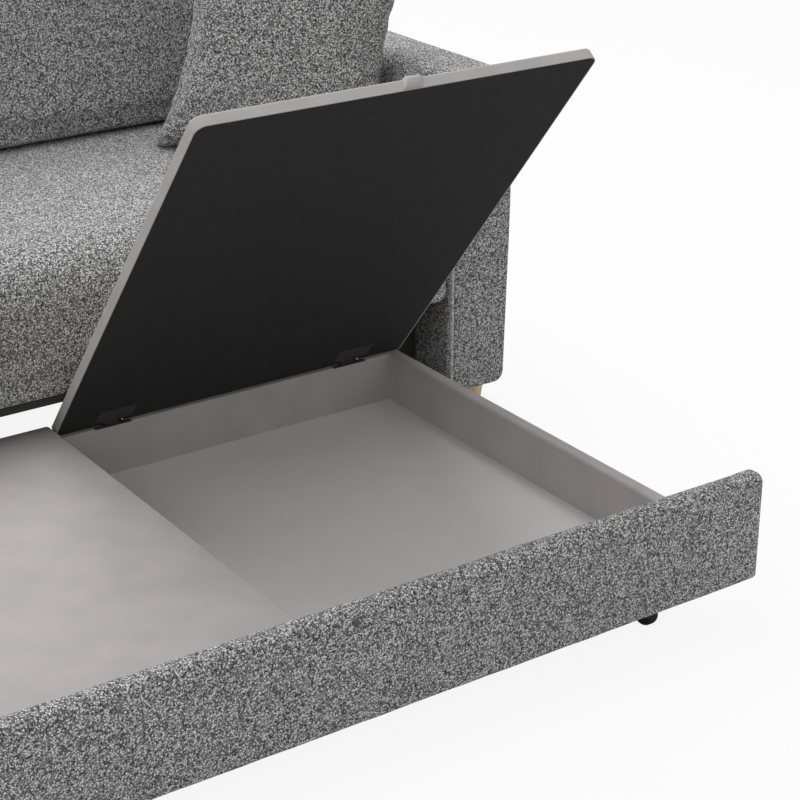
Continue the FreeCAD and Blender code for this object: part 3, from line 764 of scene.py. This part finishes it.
@dataclass
class PullTab:
    """A lid's pull tab, which folds over the lid's front edge.

    Attributes:
        side: "left" for the shut lid, "right" for the raised one.
        edge_round: the lid's rounded edge, which the tab folds over.
        width: the tab's width.
        start: how far above the lid's underside the tab begins.
        lap: how far it reaches over the lid's top.
        least: its thickness at its edges.
        swell: how much thicker its fold is.
        fall_off: the share by which the swell shrinks from the middle to the right.
        skew: how far its top is pulled sideways.
        rest: how far its inner skin stands off the lid.
        run, across: points along each run of the fold and across it.
    """

    side: str
    edge_round: float = 4 * MM
    width: float = 32 * MM
    start: float = 1 * MM
    lap: float = 15 * MM
    least: float = 0.5 * MM
    swell: float = 3.6 * MM
    fall_off: float = 0.25
    skew: float = 9 * MM
    rest: float = 0.05 * MM
    run: int = 8
    across: int = 25

    def build(self, palette: Palette) -> None:
        """The tab replaces its CAD solid."""
        lid = self.side + "_lid"
        rings = self.lying()
        tab = closed_mesh(self.side + "_tab",
                          self.raised(rings) if self.side == "right" else rings)
        dress(tab, palette["box_cloth"], lid, "boucle_box", lid + "_tab")

    def fold(self, low: Vector, high: Vector) -> tuple[np.ndarray, np.ndarray]:
        """The line in Y and Z that the tab follows over a shut lid's edge, and its normals.

        Args:
            low, high: the box of a shut lid's cover.

        Returns:
            Points and unit normals, one row each.
        """
        edge = self.edge_round
        turn = np.linspace(0, math.pi / 2, self.run - 1)
        rise = np.linspace(low.z + self.start, high.z - edge, self.run + 1)[:-1]
        lap = np.linspace(low.y + edge, low.y + self.lap, self.run + 1)[1:]
        line = np.concatenate([
            np.column_stack([np.full(self.run, low.y), rise]),
            np.column_stack([low.y + edge * (1 - np.cos(turn)),
                             high.z - edge * (1 - np.sin(turn))]),
            np.column_stack([lap, np.full(self.run, high.z)])])
        ahead = np.gradient(line, axis=0)
        ahead /= np.linalg.norm(ahead, axis=1)[:, None]
        return line, np.column_stack([-ahead[:, 1], ahead[:, 0]])

    def lying(self) -> np.ndarray:
        """Rings of the tab on a shut lid: a fold carried across, thickest left of its middle.

        The outer skin stands off along the normals by a swell that falls off as 1 - u to the
        fourth along the fold and 1 - v to the fifth across it. It is mirrored on the left.
        """
        side = self.side
        low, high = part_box("left_lid_cover")
        tab_low, tab_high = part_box(side + "_lid_tab")
        line, normal = self.fold(low, high)
        along = np.linspace(-1, 1, len(line))
        across = np.linspace(-1, 1, self.across)
        hump = (1 - along ** 4)[None, :] * (1 - np.abs(across) ** 5)[:, None]
        swell = self.least + self.swell * hump * (1 - self.fall_off * across)[:, None]
        inner = line[None] + normal[None] * self.rest + np.zeros((self.across, 1, 1))
        outer = line[None] + normal[None] * swell[..., None]
        rings = np.concatenate([outer, inner[:, ::-1]], axis=1)
        height = (rings[..., 1] - low.z) / (high.z - low.z) - 0.5
        x = across[:, None] * self.width / 2 + self.skew * np.clip(height, -0.5, 0.5)
        x = x if side == "right" else -x
        x = x + (tab_low.x + tab_high.x) / 2
        return np.stack([x, rings[..., 0], rings[..., 1]], axis=-1)

    def raised(self, points: np.ndarray) -> np.ndarray:
        """Points on a shut lid turned up about its hinge, to where the photograph has it."""
        hinge = next(j for j in frame["joints"] if j["name"] == self.side + "_lid_hinge")
        angle = -math.radians(hinge["range_deg"][1])
        y, z = points[..., 1] - hinge["pos_m"][1], points[..., 2] - hinge["pos_m"][2]
        points[..., 1] = y * math.cos(angle) - z * math.sin(angle) + hinge["pos_m"][1]
        points[..., 2] = y * math.sin(angle) + z * math.cos(angle) + hinge["pos_m"][2]
        return points


@dataclass
class Seat:
    """The seat's upholstery over its rails.

    Attributes:
        round_front: the waterfall edge.
        round_low, round_foot, round_back: the lower front, lower rear and upper rear edges.
        round_end: the rounding at each end.
        crown: how far the middle stands above the edges.
        lean: how the rear edge slants, as a share of the height.
        top_wander, front_wander: height and length of the padding's slow waves.
    """

    round_front: float = 85 * MM
    round_low: float = 8 * MM
    round_foot: float = 3 * MM
    round_back: float = 10 * MM
    round_end: float = 30 * MM
    crown: float = 6 * MM
    lean: float = math.tan(math.radians(10))
    top_wander: tuple[float, float] = (1.2 * MM, 240 * MM)
    front_wander: tuple[float, float] = (0.8 * MM, 180 * MM)

    def build(self, palette: Palette) -> None:
        """The cover replaces the CAD seat."""
        low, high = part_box("seat_upholstery")
        top = high.z - self.crown
        rear_low = high.y - (top - low.z) * self.lean
        corners = [(low.y, low.z), (rear_low, low.z), (high.y, top), (low.y, top)]
        radii = [self.round_low, self.round_foot, self.round_back, self.round_front]

        def crowned(points: np.ndarray) -> np.ndarray:
            """Raise the top after 1 - t squared from front to back, and let the padding wander."""
            height = np.clip((points[:, 2] - low.z) / (top - low.z), 0, 1) ** 4
            start = low.y + self.round_front
            deep = np.clip((points[:, 1] - start) / (high.y - start), 0, 1) * 2 - 1
            points[:, 2] += self.crown * height * (1 - deep ** 2)
            swing, size = self.top_wander
            points[:, 2] += waves(points, size, seed=5) * swing * height
            swing, size = self.front_wander
            points[:, 1] += waves(points, size, seed=6) * swing * (1 - height)
            return points

        stations = eased_stations(low.x, high.x, self.round_end, arc_points=10, middle_points=90)
        cover = carried("seat_cover", 0, corners, radii, stations, arc_points=16,
                        edge_points=36, warp=crowned)
        dress(cover, palette["boucle"], "sofa", "boucle", "seat_upholstery")


@dataclass
class Arm:
    """A block arm, worked out on the right, and turned over for the left.

    Attributes:
        side: "left" or "right".
        round_outer: the two top corners.
        round_inner, round_low: the lower inner and lower outer corner.
        round_end: the front and rear edges.
        bow: heights, each with how far the outer side stands out there, in millimetres.
        wander, wander_size: height and length of the padding's slow waves.
        spare: how far the bowed side stays inside the CAD side.
        face_insets: insets of the rings on the front face, in millimetres.
        pinch: the share by which the inner front edge is drawn in to its welt.
        pinch_width: how far from that edge the draw reaches.
        fade_start, fade: the share of welt_high below the top where the draw and the crease
            start, and the height over which they grow.
        welt_inset: how far the welt's middle lies from the inner side.
        welt_radius: the welt's radius.
        welt_depth: how far its middle lies under the surface.
        bed_depth: depth of the crease that the welt lies in.
        bed_margin: how much wider than the welt the crease is.
        bed_slopes: widths of the crease's inner and outer slope.
        welt_low, welt_high: how far its two ends lie from the arm's foot and top.
        welt_turn: radius of the turns by which its ends go into the padding.
    """

    side: str
    round_outer: float = 30 * MM
    round_inner: float = 14 * MM
    round_low: float = 20 * MM
    round_end: float = 6 * MM
    bow: tuple[tuple[float, float], ...] = (
        (40, 0.0), (120, 2.2), (236, 5.6), (311, 8.0), (385, 9.4), (450, 9.4), (540, 6.5),
        (624, 2.5))
    wander: float = 0.6 * MM
    wander_size: float = 160 * MM
    spare: float = 0.5 * MM
    face_insets: tuple[float, ...] = (52, 34, 24, 18, 15.5, 14, 13, 12, 10.5, 9, 7.5)
    pinch: float = 0.6
    pinch_width: float = 14 * MM
    fade_start: float = 0.8
    fade: float = 20 * MM
    welt_inset: float = 8.5 * MM
    welt_radius: float = 4.2 * MM
    welt_depth: float = 0.8 * MM
    bed_depth: float = 4.5 * MM
    bed_margin: float = 3 * MM
    bed_slopes: tuple[float, float] = (1 * MM, 2 * MM)
    welt_low: float = 8 * MM
    welt_high: float = 34 * MM
    welt_turn: float = 12 * MM

    def __post_init__(self) -> None:
        """Take the CAD solid's box, with X as if on the right, and the side before its bow."""
        node = self.side + "_arm_upholstery"
        low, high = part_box(node)
        self.node, self.low, self.high = node, low, high
        self.sign = 1.0 if self.side == "right" else -1.0
        self.inner, outer = sorted((self.sign * low.x, self.sign * high.x))
        self.flat = outer - max(out for _, out in self.bow) * MM - self.wander - self.spare

    def build(self, palette: Palette) -> None:
        """The cover replaces its CAD solid, and the welt is a new piece."""
        cover = self.cover()
        dress(cover, palette["boucle"], "sofa", "boucle", self.node)
        welt = cord(self.side + "_arm_welt", self.bowed(self.welt_path()), self.welt_radius)
        # The welt wears the paler copy of the bouclé: a painted highlight along it.
        dress(welt, palette["boucle_welt_highlight"], "sofa", "boucle")

    def bowed(self, points: np.ndarray) -> np.ndarray:
        """Bow the outer side after the table, let it wander, and give the arm its side."""
        heights, outs = (np.array(column) * MM for column in zip(*self.bow))
        across = np.clip((points[:, 0] - self.inner) / (self.flat - self.inner), 0, 1)
        points[:, 0] += across ** 2 * np.interp(points[:, 2], heights, outs)
        points += waves(points, self.wander_size, seed=11)[:, None] * self.wander
        points[:, 0] *= self.sign
        return points

    def creased(self, points: np.ndarray) -> np.ndarray:
        """Draw the inner front edge in to a sharp corner, with a bed for the welt beside it.

        Both fade out over the edge's rounding, and below the welt's upper end. The arm is then
        bowed.
        """
        near = np.clip(1 - (points[:, 1] - self.low.y) / (2 * self.round_end), 0, 1)
        top = self.high.z - self.fade_start * self.welt_high
        near *= np.clip((top - points[:, 2]) / self.fade, 0, 1)
        inward = points[:, 0] - self.inner
        inward *= 1 - self.pinch * near * np.clip(1 - inward / self.pinch_width, 0, 1)
        points[:, 0] = self.inner + inward
        start = self.welt_inset - self.welt_radius
        end = self.welt_inset + self.welt_radius + self.bed_margin
        bed = (np.clip((inward - start) / self.bed_slopes[0] + 1, 0, 1)
               * np.clip((end - inward) / self.bed_slopes[1], 0, 1))
        points[:, 1] += self.bed_depth * near * bed
        return self.bowed(points)

    def cover(self) -> bpy.types.Object:
        """The cover: rings over the front face, then the profile carried to the rear."""
        inner, flat, low, high = self.inner, self.flat, self.low, self.high
        corners = [(inner, low.z), (flat, low.z), (flat, high.z), (inner, high.z)]
        radii = [self.round_inner, self.round_low, self.round_outer, self.round_outer]
        face = [(low.y, inset * MM) for inset in self.face_insets]
        stations = face + eased_stations(low.y, high.y, self.round_end, arc_points=8,
                                         middle_points=90)
        return carried(self.side + "_arm_cover", 1, corners, radii, stations, arc_points=9,
                       edge_points=26, warp=self.creased)

    def welt_path(self) -> np.ndarray:
        """The welt's middle line: out of the padding, up the inner front edge, and in again."""
        turn = np.linspace(0, math.pi / 2, 9)
        dip = self.welt_turn * (1 - np.sin(turn))
        rise = self.welt_turn * (1 - np.cos(turn))
        start, end = self.low.z + self.welt_low, self.high.z - self.welt_high
        straight = np.linspace(start + rise[-1], end - rise[-1], 122)[1:-1]
        z = np.concatenate([start + rise, straight, end - rise[::-1]])
        dips = np.concatenate([dip, np.zeros(len(straight)), dip[::-1]])
        y = self.low.y + self.welt_depth + dips
        return np.column_stack([np.full(len(z), self.inner + self.welt_inset), y, z])


@dataclass
class Back:
    """The back's upholstery behind the loose cushions.

    Attributes:
        round_top, round_low, round_end: the top edges, the lower edges and the ends.
        lean: how the front face leans, as a share of the height.
    """

    round_top: float = 26 * MM
    round_low: float = 3 * MM
    round_end: float = 4 * MM
    lean: float = math.tan(math.radians(10))

    def build(self, palette: Palette) -> None:
        """The cover replaces the CAD back."""
        low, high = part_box("back_upholstery")
        top_front = low.y + (high.z - low.z) * self.lean
        corners = [(low.y, low.z), (high.y, low.z), (high.y, high.z), (top_front, high.z)]
        radii = [self.round_low, self.round_low, self.round_top, self.round_top]
        stations = eased_stations(low.x, high.x, self.round_end, arc_points=5, middle_points=60)
        cover = carried("back_cover", 0, corners, radii, stations, arc_points=9, edge_points=24)
        dress(cover, palette["boucle"], "sofa", "boucle", "back_upholstery")


def through(stops: Sequence[tuple[float, float]], count: int) -> np.ndarray:
    """A smooth curve through a few stops.

    Between two stops it is the cubic whose slope at each is half the step from the stop before
    to the stop after.

    Args:
        stops: the stops in order.
        count: how many points to give.

    Returns:
        Points on the curve, one row each.
    """
    known = np.asarray(stops, float)
    padded = np.concatenate([2 * known[:1] - known[1:2], known, 2 * known[-1:] - known[-2:-1]])
    along = np.linspace(0, len(known) - 1, count)
    i = np.minimum(along.astype(int), len(known) - 2)
    t = (along - i)[:, None]
    a, b, c, d = (padded[i + k] for k in range(4))
    return b + 0.5 * t * (c - a + t * (2 * a - 5 * b + 4 * c - d + t * (3 * (b - c) + d - a)))


def centred(points: np.ndarray, middle: Vector) -> np.ndarray:
    """Points moved so that the middle of their box is at a place."""
    flat = points.reshape(-1, 3)
    return points + np.array(middle) - (flat.min(axis=0) + flat.max(axis=0)) / 2


def leaned(points: np.ndarray, lean: float, yaw: float, slump: float) -> np.ndarray:
    """Points slumped, leaned and turned.

    Args:
        points: an array whose last axis is X, Y and Z.
        lean: how far the top leans back, in degrees.
        yaw: the turn about the upright, in degrees.
        slump: how far the top slides to the right, in degrees.

    Returns:
        The moved points.
    """
    x, y, z = points[..., 0], points[..., 1], points[..., 2]
    x = x + z * math.tan(math.radians(slump))
    a, b = math.radians(lean), math.radians(yaw)
    y, z = y * math.cos(a) + z * math.sin(a), -y * math.sin(a) + z * math.cos(a)
    x, y = x * math.cos(b) - y * math.sin(b), x * math.sin(b) + y * math.cos(b)
    return np.stack([x, y, z], axis=-1)


@dataclass
class BackCushion:
    """A loose back cushion.

    Attributes:
        side: "left" or "right".
        height, thickness: its size.
        corner: radius of its outline's corners.
        draw_in: how far its sides' middles are drawn in.
        slant: how far each level lies behind the one below, as a share of the height.
        slack: how much thinner than its full size it starts out, less what remeshing takes off.
        spare: how far its top and its front may swell past its box.
        rings: rings of points on each face.
        side_points, arc_points: points on each side and each corner of a ring.
        swelling: how it is filled out.
        profile: shares of the half thickness and the outline's inset there, in millimetres.
    """

    side: str
    height: float = 400 * MM
    thickness: float = 195 * MM
    corner: float = 34 * MM
    draw_in: float = 7 * MM
    slant: float = math.tan(math.radians(10))
    slack: float = -3 * MM
    spare: float = 12 * MM
    rings: int = 60
    side_points: int = 40
    arc_points: int = 8
    swelling: Swelling = Swelling(cell=8 * MM, surplus=0.012, reach=22 * MM)
    profile: tuple[tuple[float, float], ...] = (
        (0.0, 0.0), (0.6, 1.0), (0.86, 5.0), (0.95, 14.0), (0.985, 34.0), (1.0, 80.0),
        (1.01, 198.0))

    def build(self, palette: Palette) -> None:
        """The cushion replaces its CAD solid."""
        node = self.side + "_back_cushion"
        low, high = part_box(node)
        slack = self.slack
        rows = self.rows(high.x - low.x, self.thickness - slack)
        rows[..., 1] += rows[..., 2] * self.slant
        cushion = closed_mesh(self.side + "_cushion", centred(rows, (low + high) / 2))
        self.swelling.apply(cushion, self.holder(low, high))
        dress(cushion, palette["boucle"], node, "boucle", node)

    def rows(self, width: float, thickness: float) -> np.ndarray:
        """Rings of the crowned cushion, from its front's middle, over its seam, to its back's.

        Args:
            width, thickness: its size.

        Returns:
            The rings, with the cushion standing in X and Z about its middle, its front to -Y.
        """
        curve = through([(share, inset * MM) for share, inset in self.profile], self.rings)
        share = np.concatenate([-curve[::-1, 0], curve[1:, 0]])
        inset = np.concatenate([curve[::-1, 1], curve[1:, 1]])
        flat = self.outlines(width, inset)
        depth = np.broadcast_to((share * thickness / 2)[:, None], flat.shape[:2])
        return np.stack([flat[..., 0], depth, flat[..., 1]], axis=2)

    def outlines(self, width: float, inset: np.ndarray) -> np.ndarray:
        """Outlines of the cushion, each further in from its seam.

        The sides are drawn in: at a share u of a side, from -1 to 1, it lies d(1 - u squared)
        inside the line between its corners, and a quarter of that along the bottom. The corners
        are quarter circles. Further in, the corners grow by a third of the inset, up to 0.7 of
        the outline's half, and d shrinks by a quarter of the inset, down to a millimetre at the
        seam's size.

        Args:
            width: width at the seam.
            inset: how far each outline lies inside the seam.

        Returns:
            One row of points in X and Z for each outline.
        """
        inset = inset[:, None]
        w = width / 2 - inset
        h = self.height / 2 - inset
        c = np.minimum(self.corner + inset / 3, 0.7 * np.minimum(w, h))
        d = np.maximum(self.draw_in - inset / 4, 1 * MM * np.minimum(w, h) / (self.height / 2))
        u = np.linspace(-1, 1, self.side_points + 2)[None, 1:-1]
        sag = d * (1 - u ** 2)
        turn = np.linspace(0, math.pi / 2, self.arc_points)[None]
        cosine, sine = c * np.cos(turn), c * np.sin(turn)
        x = [w - sag, w - c + cosine, -u * (w - c), c - w - sine,
             sag - w, c - w - cosine, u * (w - c), w - c + sine]
        z = [u * (h - c), h - c + sine, h - sag, h - c + cosine,
             -u * (h - c), c - h - sine, sag / 4 - h, c - h - cosine]
        return np.stack([np.concatenate(x, axis=1), np.concatenate(z, axis=1)], axis=2)

    def holder(self, low: Vector, high: Vector) -> Callable[[np.ndarray], np.ndarray]:
        """A function that keeps the cushion's points inside its slanted box.

        Args:
            low, high: the cushion's box.

        Returns:
            It presses points flat where they would pass the seat, the back or a neighbour.
        """
        middle = (low + high) / 2
        half = self.thickness / 2

        def held(points: np.ndarray) -> np.ndarray:
            """Clip the width, the height, and the depth measured along the slant."""
            points[:, 0] = np.clip(points[:, 0], low.x, high.x)
            points[:, 2] = np.clip(points[:, 2], low.z, high.z + self.spare)
            shift = (points[:, 2] - middle.z) * self.slant
            points[:, 1] = np.clip(points[:, 1] - shift, middle.y - half - self.spare,
                                   middle.y + half) + shift
            return points

        return held


@dataclass
class ThrowPillow:
    """The knife-edged throw pillow in the corner.

    Attributes:
        size, thickness: its width and height, and its thickness.
        corner: radius of its outline's corners.
        draw_in: how far its sides' middles are drawn in.
        low_share: the share of that by which its lower side is drawn in.
        shift: how far its middle lies from the CAD solid's.
        lean, yaw, slump: how it stands, in degrees.
        cells: cells along each side of its grid.
        ruffle: how deep the seam's waves are.
        beats: the seam's two waves, each with its length over a turn, its height and its phase.
        beat_shift: how far the right and upper seams' waves are shifted against the others'.
        slack: how much thinner than its full size it starts out.
        swelling: how it is filled out.
        clearance: how far it stays off the arm.
        profile: shares of the half thickness and the outline's inset there, in millimetres.
    """

    size: float = 406 * MM
    thickness: float = 126 * MM
    corner: float = 11 * MM
    draw_in: float = 29 * MM
    low_share: float = 0.25
    shift: tuple[float, float, float] = (4 * MM, -6 * MM, 0.0)
    lean: float = 8.0
    yaw: float = -41.4
    slump: float = 10.0
    cells: int = 80
    ruffle: float = 0.9 * MM
    beats: tuple[tuple[float, float, float], ...] = ((8.5 * MM, 1.0, 0.0), (5.3 * MM, 0.7, 2.0))
    beat_shift: float = 0.03
    slack: float = 5 * MM
    swelling: Swelling = Swelling(surplus=0.03, reach=9 * MM)
    clearance: float = 0.3 * MM
    profile: tuple[tuple[float, float], ...] = (
        (0.0, 0.0), (0.26, 5.0), (0.5, 20.0), (0.74, 52.0), (0.92, 98.0), (1.0, 150.0),
        (1.02, 197.0))

    def face(self, size: float, thickness: float) -> np.ndarray:
        """The pillow's front as a square grid of points.

        Square rings are laid one inside the next. A ring at a share s of the way out is the
        outline moved in by (1 - s) times half the size, and its depth follows the profile there.
        Along a side the points run evenly to where the corner starts, then round an eighth of a
        circle to the corner's middle. Sides sag inwards as d(1 - t squared), and two sines make
        the seam wavy. Further in, corners grow by a third of the inset, up to 0.7 of the ring's
        half, and d shrinks by a quarter of it.

        Args:
            size: width and height.
            thickness: thickness in the middle.

        Returns:
            Rows and columns of points, with the middle at the origin and the front towards -Y.
        """
        line = np.linspace(-1, 1, self.cells + 1)
        u, v = np.meshgrid(line, line)
        wide = np.abs(u) >= np.abs(v)
        share = np.maximum(np.abs(u), np.abs(v))
        half = np.maximum(share * size / 2, 0.01 * MM)
        inset = size / 2 - half
        corner = np.minimum(self.corner + inset / 3, 0.7 * half)
        along = np.minimum(np.abs(u), np.abs(v)) / np.maximum(share, 0.001) * half
        straight = half - corner
        angle = np.clip((along - straight) / corner, 0, 1) * math.pi / 4
        beside = np.minimum(along, straight) + corner * np.sin(angle)
        sag = np.maximum(self.draw_in - inset / 4, 1 * MM * share)
        sag *= np.where(~wide & (v < 0), self.low_share, 1.0)
        out = half - corner * (1 - np.cos(angle))
        out -= sag * np.clip(1 - (along / straight) ** 2, 0, 1)
        far = np.where(wide, u, v) > 0
        beat = np.where(wide, v, u) * size / 2 + np.where(far, self.beat_shift, 0.0)
        ripple = sum(rise * np.sin(beat / length + phase) for length, rise, phase in self.beats)
        ripple *= np.clip(straight - along, 0, corner) / corner
        out -= self.ruffle * share ** 6 * (1 + ripple)
        x = np.sign(u) * np.where(wide, out, beside)
        z = np.sign(v) * np.where(wide, beside, out)
        curve = through([(s, i * MM) for s, i in self.profile], 200)
        depth = np.interp(inset, curve[:, 1], curve[:, 0]) * thickness / 2
        return np.stack([x, -depth, z], axis=-1)

    def skin(self, size: float, thickness: float, middle: Vector) -> bpy.types.Object:
        """Front and back joined at the rim.

        Args:
            size: width and height.
            thickness: thickness in the middle.
            middle: where the middle of its box goes.

        Returns:
            The pillow's object.
        """
        front = self.face(size, thickness)
        count = self.cells + 1
        numbers = np.arange(count * count).reshape(count, count)
        behind = numbers.copy()
        inner = (count - 2) ** 2
        behind[1:-1, 1:-1] = count * count + np.arange(inner).reshape(count - 2, count - 2)
        back = front[1:-1, 1:-1] * np.array([1, -1, 1])
        points = np.concatenate([front.reshape(-1, 3), back.reshape(-1, 3)])
        points = centred(leaned(points, self.lean, self.yaw, self.slump), middle)
        quads = [np.stack([n[:-1, :-1], n[:-1, 1:], n[1:, 1:], n[1:, :-1]], axis=-1)
                 .reshape(-1, 4) for n in (numbers, behind)]
        return mesh_object("pillow", points, [quads[0], quads[1][:, ::-1]])

    def build(self, palette: Palette) -> None:
        """The pillow replaces its CAD solid."""
        low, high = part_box("throw_pillow")
        slack = self.slack
        arm_low, arm_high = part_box("right_arm_upholstery")

        def held(points: np.ndarray) -> np.ndarray:
            """Stop points at the seat, and at the arm's inner side where the arm reaches."""
            points[:, 2] = np.maximum(points[:, 2], low.z)
            beside = points[:, 2] < arm_high.z + 2 * MM
            stop = np.where(beside, arm_low.x - self.clearance, np.inf)
            points[:, 0] = np.minimum(points[:, 0], stop)
            return points

        middle = (low + high) / 2 + Vector(self.shift)
        pillow = self.skin(self.size, self.thickness - slack, middle)
        self.swelling.apply(pillow, held)
        dress(pillow, palette["boucle"], "throw_pillow", "boucle", "throw_pillow")


@dataclass(frozen=True)
class Lamp:
    """A square soft lamp.

    Attributes:
        name: its name.
        place: where it hangs.
        aim: the point that it faces.
        size: its side, in metres.
        power: its power, in watts.
    """

    name: str
    place: tuple[float, float, float]
    aim: tuple[float, float, float]
    size: float
    power: float

    def hang(self) -> None:
        """Add the lamp to the scene."""
        data = bpy.data.lights.new(self.name, "AREA")
        data.size = self.size
        data.energy = self.power
        lamp = bpy.data.objects.new(self.name, data)
        lamp.location = self.place
        facing = Vector(self.aim) - Vector(self.place)
        lamp.rotation_euler = facing.to_track_quat("-Z", "Y").to_euler()
        bpy.context.scene.collection.objects.link(lamp)


@dataclass
class Studio:
    """White floor and surroundings, soft lamps and the camera.

    Attributes:
        place: the camera's place.
        yaw, pitch: where it looks, in degrees to the right of +Y and below the horizon.
        lens: focal length on a sensor of that width, both in millimetres.
        sensor: the sensor's width.
        ambient: how bright the surroundings are for rays that light the sofa.
        floor_size: half the floor's side.
        floor_white: the share of plain white in the floor that the camera sees.
        lamps: the soft lamps, one high behind the seat and one at the left.
    """

    place: tuple[float, float, float] = (-1.1956, -2.7232, 1.4735)
    yaw: float = 34.48
    pitch: float = 23.45
    lens: float = 90.8
    sensor: float = 36.0
    ambient: float = 0.54
    floor_size: float = 12.0
    floor_white: float = 0.9
    lamps: tuple[Lamp, ...] = (
        Lamp("top_light", (0.4, 1.6, 3.9), (0.0, 0.0, 0.2), 3.6, 132.0),
        Lamp("left_fill", (-4.2, -0.8, 2.4), (0.0, 0.0, 0.3), 3.0, 34.0))

    def build(self) -> None:
        """Make everything that isn't the sofa."""
        scene = bpy.context.scene
        scene.view_settings.view_transform = "Standard"
        self.camera(scene)
        self.surroundings(scene)
        self.floor()
        for lamp in self.lamps:
            lamp.hang()

    def camera(self, scene: bpy.types.Scene) -> None:
        """Set the camera that has the photograph's view."""
        data = bpy.data.cameras.new("camera")
        data.lens = self.lens
        data.sensor_width = self.sensor
        camera = bpy.data.objects.new("camera", data)
        camera.location = self.place
        camera.rotation_euler = (math.radians(90 - self.pitch), 0.0, -math.radians(self.yaw))
        scene.collection.objects.link(camera)
        scene.camera = camera

    def surroundings(self, scene: bpy.types.Scene) -> None:
        """Even light from all round; straight, glossy and clear rays see white."""
        world = bpy.data.worlds.new("surroundings")
        world.use_nodes = True
        tree = world.node_tree
        background = tree.nodes["Background"]
        paths = add_node(tree, "ShaderNodeLightPath")
        straight, glossy, clear = (paths.outputs["Is %s Ray" % kind]
                                   for kind in ("Camera", "Glossy", "Transmission"))
        seen = combine(tree, "MAXIMUM", combine(tree, "MAXIMUM", straight, glossy), clear)
        strength = add_node(tree, "ShaderNodeMapRange", inputs={
            0: seen, 3: self.ambient, 4: 1.0})
        feed(background, {"Color": (1, 1, 1, 1), "Strength": strength.outputs[0]})
        scene.world = world

    def floor(self) -> None:
        """A plain floor that looks white and keeps a trace of the sofa's shadow."""
        s = self.floor_size
        points = np.array([(-s, -s, 0), (s, -s, 0), (s, s, 0), (-s, s, 0)], float)
        floor = mesh_object("floor", points, [np.array([[0, 1, 2, 3]])])
        material = bpy.data.materials.new("pale_floor")
        material.use_nodes = True
        tree = material.node_tree
        shader = tree.nodes["Principled BSDF"]
        feed(shader, {"Base Color": srgb("eaeaea"), "Roughness": 0.9})
        glow = add_node(tree, "ShaderNodeEmission", inputs={
            "Color": (1, 1, 1, 1), "Strength": 1.0})
        paths = add_node(tree, "ShaderNodeLightPath")
        share = combine(tree, "MULTIPLY", paths.outputs["Is Camera Ray"], self.floor_white)
        mixed = add_node(tree, "ShaderNodeMixShader", inputs={
            0: share, 1: shader.outputs[0], 2: glow.outputs[0]})
        feed(tree.nodes["Material Output"], {"Surface": mixed.outputs[0]})
        floor.data.materials.append(material)


def main() -> None:
    """Build the studio and every part of the sofa."""
    logging.basicConfig(level=logging.INFO, format="%(name)s: %(message)s")
    Studio().build()
    palette = {finish.name: finish.build() for finish in FINISHES}
    parts = (HardParts(), FrontPanel(), PullTab("left"), PullTab("right"), Seat(), Arm("left"),
             Arm("right"), Back(), BackCushion("left"), BackCushion("right"), ThrowPillow())
    for part in parts:
        part.build(palette)
        log.info("%s is dressed", type(part).__name__)


if __name__ == "__main__":
    main()
